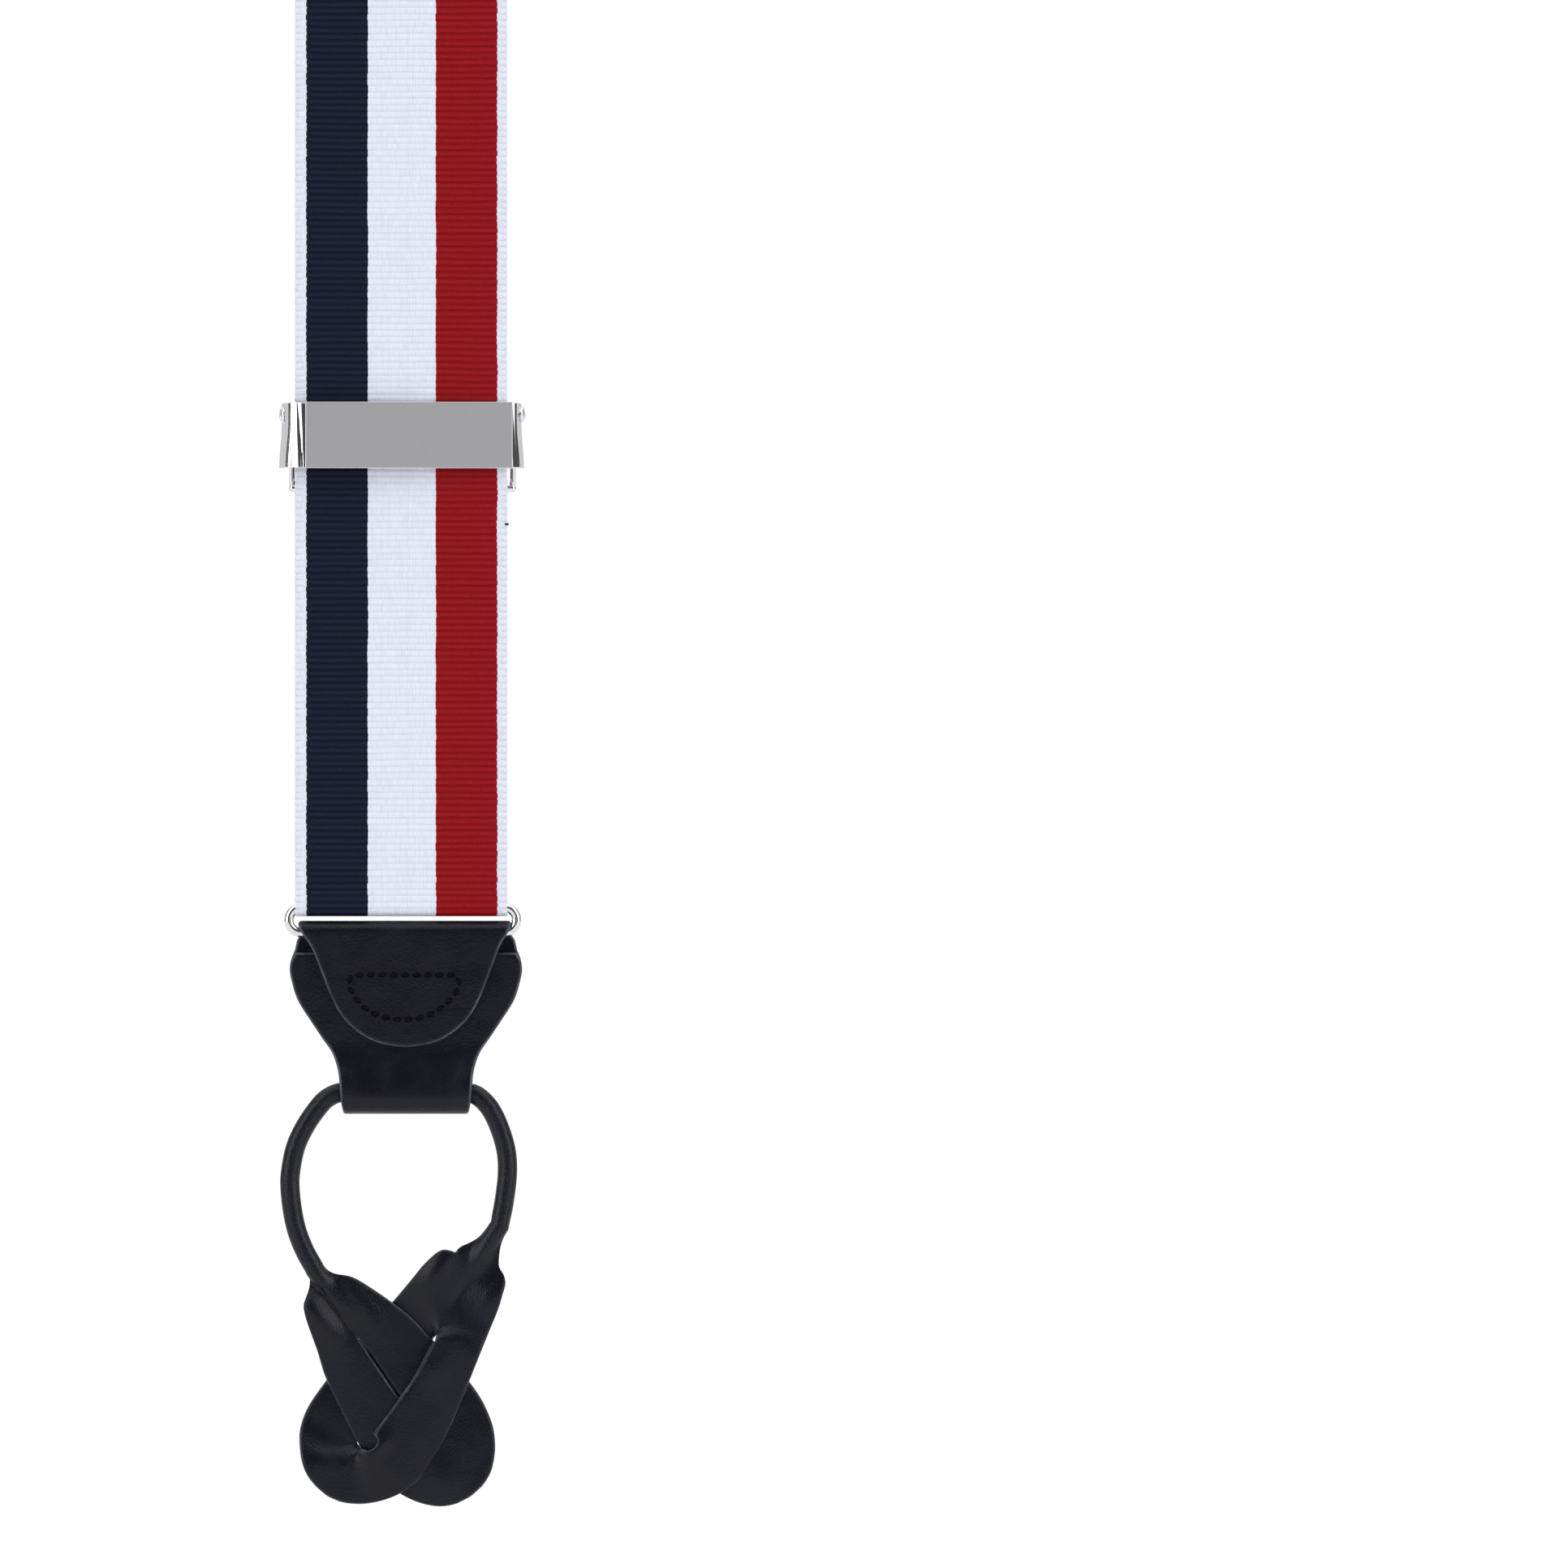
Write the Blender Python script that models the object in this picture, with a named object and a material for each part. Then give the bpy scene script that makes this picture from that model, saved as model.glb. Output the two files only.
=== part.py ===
"""Y-back dress suspenders that button on: two striped ribbon straps, chrome adjusters and rings,
leather button ends with laced ears, and a leather yoke with an elastic strap at the back.

The pair hangs over a rail or a shoulder: the two straps go up at the back, over the top and down
the front.  X is across (the two straps are mirror images about x = 0), the front faces -Y and
z = 0 is the underside of the straps where they rest.  All the dimensions below are millimetres.
"""
import math

import bmesh
import bpy
import numpy as np
from mathutils import Vector

for thing in list(bpy.data.objects):
    bpy.data.objects.remove(thing, do_unlink=True)

MM = 0.001

# ribbon straps
RIBBON_WIDTH = 37.8
RIBBON_THICK = 0.6
STRAP_SPACING = 120.0        # front straps, centre to centre
REST_RADIUS = 30.0           # of the rail or shoulder under the straps
REAR_SLANT = 15.0            # degrees, how far each strap leans inwards at the back
STRAP_END_GAP = 0.5          # from the symmetry plane to a strap's inner corner
LAYER_GAP = 0.35             # between neighbouring layers

# heights of the ring's top bar: everything on a button end is measured from here
FRONT_BAR_Z = -583.2
REAR_BAR_Z = -293.0

# wire ring
RING_WIRE = 1.7
RING_LENGTH = 42.2
RING_BARS = 4.4              # top bar to bottom bar, centre to centre
RING_CORNER = 2.0
RING_SHIFT = 0.3             # the ring hangs this far off the ribbon's centre line

# adjuster casing, pin, lever and bail (heights above the ring's top bar)
CASING_BOTTOM, CASING_TOP = 78.2, 90.0
CASING_WIDTH = 42.0
CASING_DEPTH = 7.8
SHEET_METAL = 0.6
CASING_BEND = 2.5            # outer radius of the bent flanges
PIN_HEIGHT, PIN_DEPTH, PIN_RADIUS = 87.8, 2.6, 0.9
PIN_LENGTH, PIN_HEAD = 43.8, 1.35
LEVER_WIDTH, LEVER_SHEET = 35.6, 0.7
BAIL_HEIGHT, BAIL_DEPTH, BAIL_WIRE = 80.6, 3.9, 1.0
BAIL_BAR_HEIGHT = 74.3
BAIL_LEG = 19.6             # half the distance between the legs
SPLIT_HEIGHT = 84.4          # the strap passes the lever's nip here

# leather end, heights below the ring's top bar
LEATHER = 1.2
END_SHIFT = 0.95             # the leather hangs this far off the ribbon's centre line
FOLD_Z = -33.75              # centre of the bottom fold
CORD_Z = -33.2               # where the cord runs through it
FOLD_INNER = 2.15
FRONT_PANEL_TOP = -8.0
TONGUE_TIP = -25.0
# half widths down the leather: (height, half width)
TONGUE = [(-2.5, 18.2), (-4.6, 18.1), (-7.1, 16.7), (-12.1, 14.8), (-15.7, 13.2), (-19.2, 11.3),
          (-21.6, 8.9), (-23.4, 6.3), (-24.5, 3.8), (-25.0, 1.6)]
PANEL = [(-2.5, 18.2), (-6.4, 18.3), (-7.4, 19.6), (-9.0, 20.3), (-11.0, 20.5), (-13.3, 20.2),
         (-16.6, 19.1), (-20.4, 16.7), (-23.4, 14.7), (-25.4, 13.3), (-27.2, 12.5),
         (-29.5, 12.0), (-32.8, 11.8), (-34.8, 11.6), (-37.1, 11.1)]

# ears and cord
CORD_RADIUS = 1.75
EAR_LENGTH, EAR_HALF = 49.2, 11.6
EAR_FULL = 34.0              # distance from the root to the ear's widest place
SLIT_START, SLIT_END, SLIT_WIDTH = 14.0, 39.0, 0.8
LEFT_ROOT, LEFT_AIM = (-15.5, -64.3), (0.566, -0.824)
RIGHT_ROOT, RIGHT_AIM = (13.95, -63.8), (-0.545, -0.838)
RIGHT_LEAD = 6.0             # the right ear starts to open this far above its root
CORD_LINE = [(-17.6, -60.3), (-18.9, -56.2), (-19.6, -52.0), (-19.7, -47.8), (-18.8, -43.6),
             (-17.3, -39.5), (-14.7, -35.6), (-10.8, -33.5), (-6.5, CORD_Z), (1.0, CORD_Z),
             (8.5, CORD_Z), (12.8, -33.5), (15.9, -35.7), (18.0, -39.9), (18.9, -43.7),
             (19.0, -47.8), (18.6, -52.0), (17.9, -55.6)]

# yoke
YOKE_TOP, YOKE_BOTTOM = -114.0, -188.0
YOKE = [(0.0, -124.0), (6.0, -118.5), (14.0, -116.0), (28.0, -119.5), (42.0, -124.0),
        (46.5, -128.0), (47.0, -134.0), (43.0, -143.0), (35.0, -154.0), (28.0, -165.0),
        (24.5, -176.0), (23.5, -184.0), (20.5, -188.5), (12.0, -189.5), (0.0, -190.0)]
ELASTIC_TOP = -146.0
ELASTIC_SPLIT = 34.6         # the sewn-back end starts this far above the rear ring's bar
REAR_TAIL = 30.0

HALF = RIBBON_WIDTH / 2
MID = REST_RADIUS + RIBBON_THICK / 2
BAR_DEPTH = RING_WIRE / 2 + 0.3 + RIBBON_THICK / 2      # ring bar behind the front run
PANEL_STEP = RING_WIRE / 2 + 0.3 + LEATHER / 2          # leather layer to the ring bar's centre
FOLD_MID = FOLD_INNER + LEATHER / 2
FOLD_DEPTH = BAR_DEPTH + PANEL_STEP / 2
EAR_SHEET = LEATHER
EAR_STEP = EAR_SHEET + 0.45


# ---------------------------------------------------------------- materials and meshes
def material(name, colour, roughness, metallic):
    made = bpy.data.materials.new(name)
    made.use_nodes = True
    shader = made.node_tree.nodes["Principled BSDF"]
    shader.inputs["Base Color"].default_value = (*colour, 1.0)
    shader.inputs["Roughness"].default_value = roughness
    shader.inputs["Metallic"].default_value = metallic
    return made


RIBBON = material("striped_ribbon", (0.025, 0.035, 0.075), 0.75, 0.0)
ELASTIC = material("black_elastic", (0.02, 0.02, 0.024), 0.8, 0.0)
HIDE = material("black_leather", (0.015, 0.015, 0.018), 0.45, 0.0)
CHROME = material("chrome_plate", (0.78, 0.78, 0.8), 0.12, 1.0)


def add(name, points, faces, finish, origin):
    """One closed solid from world points in millimetres; its origin sits on its joint."""
    mesh = bpy.data.meshes.new(name)
    pivot = Vector(origin)
    mesh.from_pydata([(Vector(p) - pivot) * MM for p in points], [], faces)
    work = bmesh.new()
    work.from_mesh(mesh)
    bmesh.ops.recalc_face_normals(work, faces=work.faces)
    if work.calc_volume(signed=True) < 0:
        bmesh.ops.reverse_faces(work, faces=work.faces)
    work.to_mesh(mesh)
    work.free()
    mesh.materials.append(finish)
    made = bpy.data.objects.new(name, mesh)
    made.location = pivot * MM
    bpy.context.scene.collection.objects.link(made)
    return made


def drill(target, axis_y, axis_z, radius, length):
    """Bore straight across X through a solid, at a world height and depth in millimetres."""
    bpy.ops.mesh.primitive_cylinder_add(vertices=16, radius=radius * MM, depth=length * MM,
                                        location=(target.location.x, axis_y * MM, axis_z * MM),
                                        rotation=(0.0, math.pi / 2, 0.0))
    cutter = bpy.context.object
    cut = target.modifiers.new("bore", "BOOLEAN")
    cut.operation, cut.solver, cut.object = "DIFFERENCE", "EXACT", cutter
    bpy.context.view_layer.update()
    shaped = bpy.data.meshes.new_from_object(
        target.evaluated_get(bpy.context.evaluated_depsgraph_get()))
    target.modifiers.clear()
    target.data = shaped
    bpy.data.objects.remove(cutter, do_unlink=True)


# ---------------------------------------------------------------- outlines and paths
def arc(centre, radius, start, end, count):
    turns = np.radians(np.linspace(start, end, count))
    return [(centre[0] + radius * math.cos(a), centre[1] + radius * math.sin(a)) for a in turns]


def ease(value):
    value = min(1.0, max(0.0, value))
    return value * value * (3 - 2 * value)


def bend(start, end, count):
    """An S-shaped run between two (depth, height) points, upright at both ends."""
    return [(start[0] + (end[0] - start[0]) * ease(k / count),
             start[1] + (end[1] - start[1]) * k / count) for k in range(1, count + 1)]


def half_width(table, height):
    heights = [-row[0] for row in table]
    return float(np.interp(-height, heights, [row[1] for row in table]))


def smooth_line(points, step):
    """A rounded line through the points, sampled about every step millimetres."""
    spots = [np.array(p, float) for p in points]
    spots = [2 * spots[0] - spots[1]] + spots + [2 * spots[-1] - spots[-2]]
    line = []
    for a, b, c, d in zip(spots, spots[1:], spots[2:], spots[3:]):
        pieces = max(1, round(float(np.linalg.norm(c - b)) / step))
        for k in range(pieces):
            t = k / pieces
            line.append(0.5 * (2 * b + (c - a) * t + (2 * a - 5 * b + 4 * c - d) * t ** 2
                               + (3 * b - a - 3 * c + d) * t ** 3))
    return line + [spots[-2]]


def close_grid(rows, columns):
    """Faces of a lofted solid: every row is a ring of points, capped at both ends."""
    faces = []
    for r in range(rows - 1):
        for c in range(columns):
            d = (c + 1) % columns
            faces.append((r * columns + c, r * columns + d,
                          (r + 1) * columns + d, (r + 1) * columns + c))
    faces.append(tuple(range(columns - 1, -1, -1)))
    faces.append(tuple((rows - 1) * columns + c for c in range(columns)))
    return faces


def strip(name, path, widths, thick, finish, place, pivot, shift=0.0):
    """A bent strip: a (depth, height) path, a half width at each point, an even thickness."""
    line = np.array(path, float)
    along = np.gradient(line, axis=0)
    along /= np.linalg.norm(along, axis=1)[:, None]
    across = np.stack([-along[:, 1], along[:, 0]], axis=1) * thick / 2
    points = []
    for spot, side, half in zip(line, across, widths):
        for x, way in ((-half, 1), (half, 1), (half, -1), (-half, -1)):
            points.append(place(shift + x, *(spot + way * side)))
    return add(name, points, close_grid(len(line), 4), finish, place(*pivot))


def tube(name, path, radius, sides, closed, finish, place, pivot):
    """Round wire along (across, depth, height) points that all share one depth."""
    line = np.array(path, float)
    if closed:
        along = np.roll(line, -1, axis=0) - np.roll(line, 1, axis=0)
    else:
        along = np.gradient(line, axis=0)
    along /= np.linalg.norm(along, axis=1)[:, None]
    back = np.array([0.0, 1.0, 0.0])
    points = []
    for spot, way in zip(line, along):
        side = np.cross(way, back)
        for k in range(sides):
            turn = 2 * math.pi * (k + 0.5) / sides
            points.append(place(*(spot + radius * (math.cos(turn) * side
                                                   + math.sin(turn) * back))))
    faces = close_grid(len(line), sides)
    if closed:
        faces = faces[:-2]
        last = (len(line) - 1) * sides
        faces += [(last + c, last + (c + 1) % sides, (c + 1) % sides, c) for c in range(sides)]
    return add(name, points, faces, finish, place(*pivot))


# ---------------------------------------------------------------- parts of one button end
def ring(name, place):
    half, drop, r = RING_LENGTH / 2 - RING_WIRE / 2, RING_BARS, RING_CORNER
    corners = [((half - r, -r), 90, 0), ((half - r, r - drop), 0, -90),
               ((r - half, r - drop), -90, -180), ((r - half, -r), 180, 90)]
    path = []
    for centre, start, end in corners:
        path += [(RING_SHIFT + x, BAR_DEPTH, z) for x, z in arc(centre, r, start, end, 6)]
    tube(name, path, RING_WIRE / 2, 10, True, CHROME, place, (RING_SHIFT, BAR_DEPTH, 0.0))


def leather_end(name, place):
    """Tongue in front, over the ring, back panel, fold round the cord, front panel."""
    bar = (BAR_DEPTH, -RING_BARS)
    front, rear = BAR_DEPTH - PANEL_STEP, BAR_DEPTH + PANEL_STEP
    turn = FOLD_Z
    levels = [-24.5, -23.9, -23.0, -21.6, -20.4, -19.2, -17.4, -15.7, -13.9, -12.1, -9.6, -7.1]
    path = [(front, TONGUE_TIP)] + [(front, z) for z in levels]
    path += arc(bar, PANEL_STEP, 180, 0, 11)
    path += [(rear, z) for z in (-6.4, -7.4, -9.0, -11.0, -13.3, -16.6, -20.4, -23.0)]
    path += bend((rear, -23.0), (FOLD_DEPTH + FOLD_MID, turn), 7)[:-1]
    path += arc((FOLD_DEPTH, turn), FOLD_MID, 0, -180, 13)
    path += bend((FOLD_DEPTH - FOLD_MID, turn), (BAR_DEPTH, -25.6), 7)
    path += [(BAR_DEPTH, z) for z in (-23.4, -20.4, -16.6, -13.3, -11.0, -9.0)]
    path.append((BAR_DEPTH, FRONT_PANEL_TOP))
    tongue = 1 + len(levels) + 6
    widths = [half_width(TONGUE if k < tongue else PANEL, z) for k, (_, z) in enumerate(path)]
    widths[-1] -= 0.5
    strip(name, path, widths, LEATHER, HIDE, place, (END_SHIFT, BAR_DEPTH, -RING_BARS),
          END_SHIFT)


def ear_half(distance, lead):
    """Half width of an ear at a distance from its root; lead is the taper above the root."""
    if distance <= EAR_FULL:
        share = max(0.0, (distance + lead) / (EAR_FULL + lead))
        return max(CORD_RADIUS, EAR_HALF * share ** 0.37)
    share = min(1.0, (distance - EAR_FULL) / (EAR_LENGTH - EAR_FULL))
    return EAR_HALF * max(0.0, 1 - share ** 2.2) ** (1 / 2.2)


def ear_distances():
    """Stations from the root to the tip, closer together round the lobe."""
    body = list(np.linspace(1.5, EAR_FULL - 1.0, 18))
    lobe = [EAR_FULL + (EAR_LENGTH - EAR_FULL) * math.sin(math.radians(a))
            for a in (2, 16, 29, 41, 53, 64, 75, 83)]
    return body + lobe


def ear_depth(distance, across):
    """The right ear parts at its slit: outer half in front, inner half behind the left ear."""
    clear = max(0.0, SLIT_START - distance, distance - SLIT_END)
    spread = 1.0 if clear == 0 else min(1.0, abs(across) / (2.0 * clear + 0.4))
    fade = ease((distance - 6.0) / 8.0) * ease((48.0 - distance) / 6.0)
    return -math.copysign(EAR_STEP * spread * fade, across)


def ear_strap(name, place):
    """Left ear, rolled cord over the fold and right ear: one length of leather."""
    stations = []
    aim = np.array(LEFT_AIM)
    for d in reversed(ear_distances()):
        stations.append((np.array(LEFT_ROOT) + d * aim, -aim, ear_half(d, 0.0), d, 0))
    cord = smooth_line([LEFT_ROOT] + CORD_LINE, 2.6)
    way = np.gradient(np.array(cord), axis=0)
    for spot, heading in zip(cord, way):
        stations.append((np.array(spot), heading / np.linalg.norm(heading), CORD_RADIUS, -9, 0))
    aim = np.array(RIGHT_AIM)
    for d in [-3.5, -1.0] + ear_distances():
        stations.append((np.array(RIGHT_ROOT) + d * aim, aim, ear_half(d, RIGHT_LEAD), d, 1))

    columns = 8
    turns = [math.pi * (1 - (k + 0.5) / columns) for k in range(columns)]
    points = []
    for spot, heading, half, d, right in stations:
        side = np.array([-heading[1], heading[0]])
        flat = ease((d + (RIGHT_LEAD if right else 1.0)) / 7.0)
        for face in (-1, 1):
            ring_points = []
            for k, turn in enumerate(turns):
                sign = -1 if k < columns // 2 else 1
                step = (k if sign < 0 else columns - 1 - k) / (columns / 2 - 1)
                level = sign * (half + (SLIT_WIDTH / 2 - half) * step)
                across = (1 - flat) * math.cos(turn) * CORD_RADIUS + flat * level
                out = (1 - flat) * math.sin(turn) * CORD_RADIUS + flat * EAR_SHEET / 2
                depth = FOLD_DEPTH + face * out
                if right:
                    depth += ear_depth(d, across)
                x, z = spot + across * side
                ring_points.append(place(x, depth, z))
            points += ring_points if face < 0 else ring_points[::-1]

    around = 2 * columns
    faces = close_grid(len(stations), around)
    mid = columns // 2 - 1
    slit_rows = [SLIT_START <= s[3] <= SLIT_END for s in stations]
    kept = []
    for face in faces:
        if len(face) == 4:
            row, column = divmod(min(face), around)
            open_row = slit_rows[row] and slit_rows[row + 1]
            if open_row and column in (mid, columns + mid):
                continue
        kept.append(face)
    for row in range(len(stations) - 1):
        if slit_rows[row] and slit_rows[row + 1]:
            a, b = row * around, (row + 1) * around
            for near, far in ((mid, around - 1 - mid), (mid + 1, around - 2 - mid)):
                kept.append((a + near, b + near, b + far, a + far))
    for row in range(1, len(stations) - 1):
        first = slit_rows[row] and not slit_rows[row - 1]
        last = slit_rows[row] and not slit_rows[row + 1]
        if first or last:
            a = row * around
            kept.append((a + mid, a + mid + 1, a + around - 2 - mid, a + around - 1 - mid))
    add(name, points, kept, HIDE, place(END_SHIFT, FOLD_DEPTH, CORD_Z))


def button_end(tag, place):
    ring("ring_" + tag, place)
    leather_end("leather_end_" + tag, place)
    ear_strap("ear_strap_" + tag, place)


# ---------------------------------------------------------------- adjuster
def adjuster(tag, place):
    outer = CASING_WIDTH / 2 - SHEET_METAL / 2
    face = -(RIBBON_THICK / 2 + LAYER_GAP + SHEET_METAL / 2)
    radius = CASING_BEND - SHEET_METAL / 2
    tail = face - SHEET_METAL / 2 + CASING_DEPTH
    line = [(-outer, tail)] + [(x, y) for x, y in
                               arc((radius - outer, face + radius), radius, 180, 270, 7)]
    line += [(x, y) for x, y in arc((outer - radius, face + radius), radius, 270, 360, 7)]
    line += [(outer, tail)]
    line = np.array(line)
    along = np.gradient(line, axis=0)
    along[1], along[-2] = (0, -1), (0, 1)
    along[7], along[8] = (1, 0), (1, 0)
    along /= np.linalg.norm(along, axis=1)[:, None]
    across = np.stack([-along[:, 1], along[:, 0]], axis=1) * SHEET_METAL / 2
    points = []
    for spot, side in zip(line, across):
        for way, height in ((1, CASING_BOTTOM), (1, CASING_TOP), (-1, CASING_TOP),
                            (-1, CASING_BOTTOM)):
            x, depth = spot + way * side
            points.append(place(x, depth, height))
    middle = (CASING_BOTTOM + CASING_TOP) / 2
    casing = add("adjuster_plate_" + tag, points, close_grid(len(line), 4), CHROME,
                 place(0.0, 0.0, middle))
    for depth, height, bore in ((PIN_DEPTH, PIN_HEIGHT, PIN_RADIUS + 0.3),
                                (BAIL_DEPTH, BAIL_HEIGHT, BAIL_WIRE / 2 + 0.35)):
        _, world_y, world_z = place(0.0, depth, height)
        drill(casing, world_y, world_z, bore, CASING_WIDTH + 6)

    # pin with domed heads outside the two flanges
    neck = CASING_WIDTH / 2 + 0.2
    dome = PIN_LENGTH / 2 - neck
    profile = [(neck - 0.001, PIN_RADIUS)]
    profile += [(neck + dome * math.sin(a), PIN_HEAD * math.cos(a)) for a in
                np.radians([0, 25, 50, 75])]
    rows = [(-x, r) for x, r in reversed(profile)] + profile
    points = []
    for x, radius in rows:
        for k in range(14):
            turn = 2 * math.pi * k / 14
            points.append(place(x, PIN_DEPTH + radius * math.cos(turn),
                                PIN_HEIGHT + radius * math.sin(turn)))
    add("adjuster_pin_" + tag, points, close_grid(len(rows), 14), CHROME,
        place(0.0, PIN_DEPTH, PIN_HEIGHT))

    # lever: rolled eye round the pin, gripping face, finger tab
    eye = PIN_RADIUS + 0.3 + LEVER_SHEET / 2
    path = arc((PIN_DEPTH, PIN_HEIGHT), eye, -60, 180, 15)
    grip = PIN_DEPTH - eye
    path += [(grip, z) for z in (86.0, 83.6)] + arc((grip + 2.0, 81.9), 2.0, 180, 262, 7)
    path += [(grip + 2.9, 79.8)]
    strip("adjuster_lever_" + tag, path, [LEVER_WIDTH / 2] * len(path), LEVER_SHEET, CHROME,
          place, (0.0, PIN_DEPTH, PIN_HEIGHT))

    # wire bail: tips in the flanges, legs, crossbar under the casing
    tip, bend_r = CASING_WIDTH / 2 + 0.35, 1.0
    half = [(tip, BAIL_HEIGHT), (BAIL_LEG + bend_r, BAIL_HEIGHT)]
    half += arc((BAIL_LEG + bend_r, BAIL_HEIGHT - bend_r), bend_r, 90, 180, 5)[1:]
    half += arc((BAIL_LEG - bend_r, BAIL_BAR_HEIGHT + bend_r), bend_r, 0, -90, 5)
    path = [(x, BAIL_DEPTH, z) for x, z in half]
    path += [(-x, BAIL_DEPTH, z) for x, z in reversed(half)]
    tube("adjuster_bail_" + tag, path, BAIL_WIRE / 2, 10, False, CHROME, place,
         (0.0, BAIL_DEPTH, BAIL_HEIGHT))


def strap_loop(tag, place):
    """Front run down to the ring, round its bar, up behind and sewn round the bail."""
    back = 2 * BAR_DEPTH
    wrap = BAIL_WIRE / 2 + 0.35 + RIBBON_THICK / 2
    path = [(0.0, SPLIT_HEIGHT - 0.2)] + [(0.0, z) for z in (60.0, 40.0, 20.0, 6.0)]
    path += arc((BAR_DEPTH, 0.0), BAR_DEPTH, 180, 360, 13)
    path += [(back, 8.0), (back, 20.0)] + bend((back, 20.0), (3.9, 50.0), 6)
    path += [(3.9, 58.0)] + bend((3.9, 58.0), (BAIL_DEPTH + wrap, BAIL_BAR_HEIGHT - 1.5), 6)
    path += arc((BAIL_DEPTH, BAIL_BAR_HEIGHT), wrap, 0, 180, 11)
    path += bend((BAIL_DEPTH - wrap, BAIL_BAR_HEIGHT), (2.75, 66.0), 3) + [(2.75, 58.5)]
    strip("strap_loop_" + tag, path, [HALF] * len(path), RIBBON_THICK, RIBBON, place,
          (0.0, 0.0, SPLIT_HEIGHT))


# ---------------------------------------------------------------- straps over the shoulder
def rest_surface(length, lift):
    """Depth and height at a length over the rest: 0 is where the front run leaves the rail."""
    turn = length / MID
    if turn < 0:
        return -MID - lift, -REST_RADIUS + length
    if turn > math.pi:
        return MID + lift, -REST_RADIUS - (length - math.pi * MID)
    radius = MID + lift
    return -radius * math.cos(turn), -REST_RADIUS + radius * math.sin(turn)


def strap(tag, side):
    """From the adjuster up the front, over the rest and down to the yoke, easing inwards."""
    slant = math.radians(REAR_SLANT)
    front_end = FRONT_BAR_Z + SPLIT_HEIGHT + 0.2 + REST_RADIUS
    x, length, over = STRAP_SPACING / 2, 0.0, math.pi * MID
    stations = [(x, z, 0.0) for z in np.linspace(front_end, -4.0, 6)] + [(x, 0.0, 0.0)]
    steps = 22
    for k in range(steps):
        heading = slant * ease((k + 0.5) / steps)
        length += over / steps
        x -= over / steps * math.tan(heading)
        stations.append((x, length, slant * ease((k + 1) / steps)))
    end_x = STRAP_END_GAP + HALF * math.cos(slant)
    fall = (x - end_x) / math.tan(slant)
    for k in (0.1, 0.4, 0.7, 1.0):
        stations.append((x - k * (x - end_x), over + k * fall, slant))
    columns = 4
    points = []
    for cx, run, heading in stations:
        ring_points = []
        for lift in (RIBBON_THICK / 2, -RIBBON_THICK / 2):
            row = []
            for k in range(columns + 1):
                v = HALF * (2 * k / columns - 1)
                y, z = rest_surface(run + v * math.sin(heading), lift)
                row.append((side * (cx + v * math.cos(heading)), y, z))
            ring_points += row if lift > 0 else row[::-1]
        points += ring_points
    faces = close_grid(len(stations), 2 * columns + 2)
    add("strap_" + tag, points, faces, RIBBON, (side * STRAP_SPACING / 2, 0.0, 0.0))


def yoke_panel(name, near, far):
    """One leaf of the shield-shaped yoke, flat on both faces."""
    half = smooth_line(YOKE, 5.0)
    outline = [(p[0], p[1]) for p in half] + [(-p[0], p[1]) for p in half[-2:0:-1]]
    count = len(outline)
    points = [(x, near, z) for x, z in outline] + [(x, far, z) for x, z in outline]
    faces = [tuple(range(count)), tuple(range(2 * count - 1, count - 1, -1))]
    faces += [(k, (k + 1) % count, count + (k + 1) % count, count + k) for k in range(count)]
    add(name, points, faces, HIDE, (0.0, (near + far) / 2, (YOKE_TOP + YOKE_BOTTOM) / 2))


# ---------------------------------------------------------------- assembly
def front_place(centre):
    def place(x, depth, height):
        return (centre + x, -MID + depth, FRONT_BAR_Z + height)
    return place


def rear_place(x, depth, height):
    return (-x, MID - depth, REAR_BAR_Z + height)


for label, sign in (("right", 1), ("left", -1)):
    put = front_place(sign * STRAP_SPACING / 2)
    strap(label, sign)
    adjuster(label, put)
    strap_loop(label, put)
    button_end(label, put)

inner = MID - RIBBON_THICK / 2 - LAYER_GAP
outside = MID + RIBBON_THICK / 2 + LAYER_GAP
yoke_panel("yoke_inner", inner - LEATHER, inner)
yoke_panel("yoke_outer", outside, outside + LEATHER)

top = ELASTIC_TOP - REAR_BAR_Z
run = [(0.0, z) for z in (top, (top + ELASTIC_SPLIT) / 2, ELASTIC_SPLIT + 0.2)]
strip("rear_elastic", run, [HALF] * 3, RIBBON_THICK, ELASTIC, rear_place, (0.0, 0.0, top))
sewn = [(0.0, ELASTIC_SPLIT - 0.2), (0.0, 18.0), (0.0, 5.0)]
sewn += arc((BAR_DEPTH, 0.0), BAR_DEPTH, 180, 360, 13) + [(2 * BAR_DEPTH, z)
                                                         for z in (5.0, 18.0, REAR_TAIL)]
strip("rear_loop", sewn, [HALF] * len(sewn), RIBBON_THICK, ELASTIC, rear_place,
      (0.0, 0.0, ELASTIC_SPLIT))
button_end("rear", rear_place)
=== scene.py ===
"""Looks for the button-on Y-back suspenders: ribbon, elastic, leather, stitching and chrome."""
import math

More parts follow.
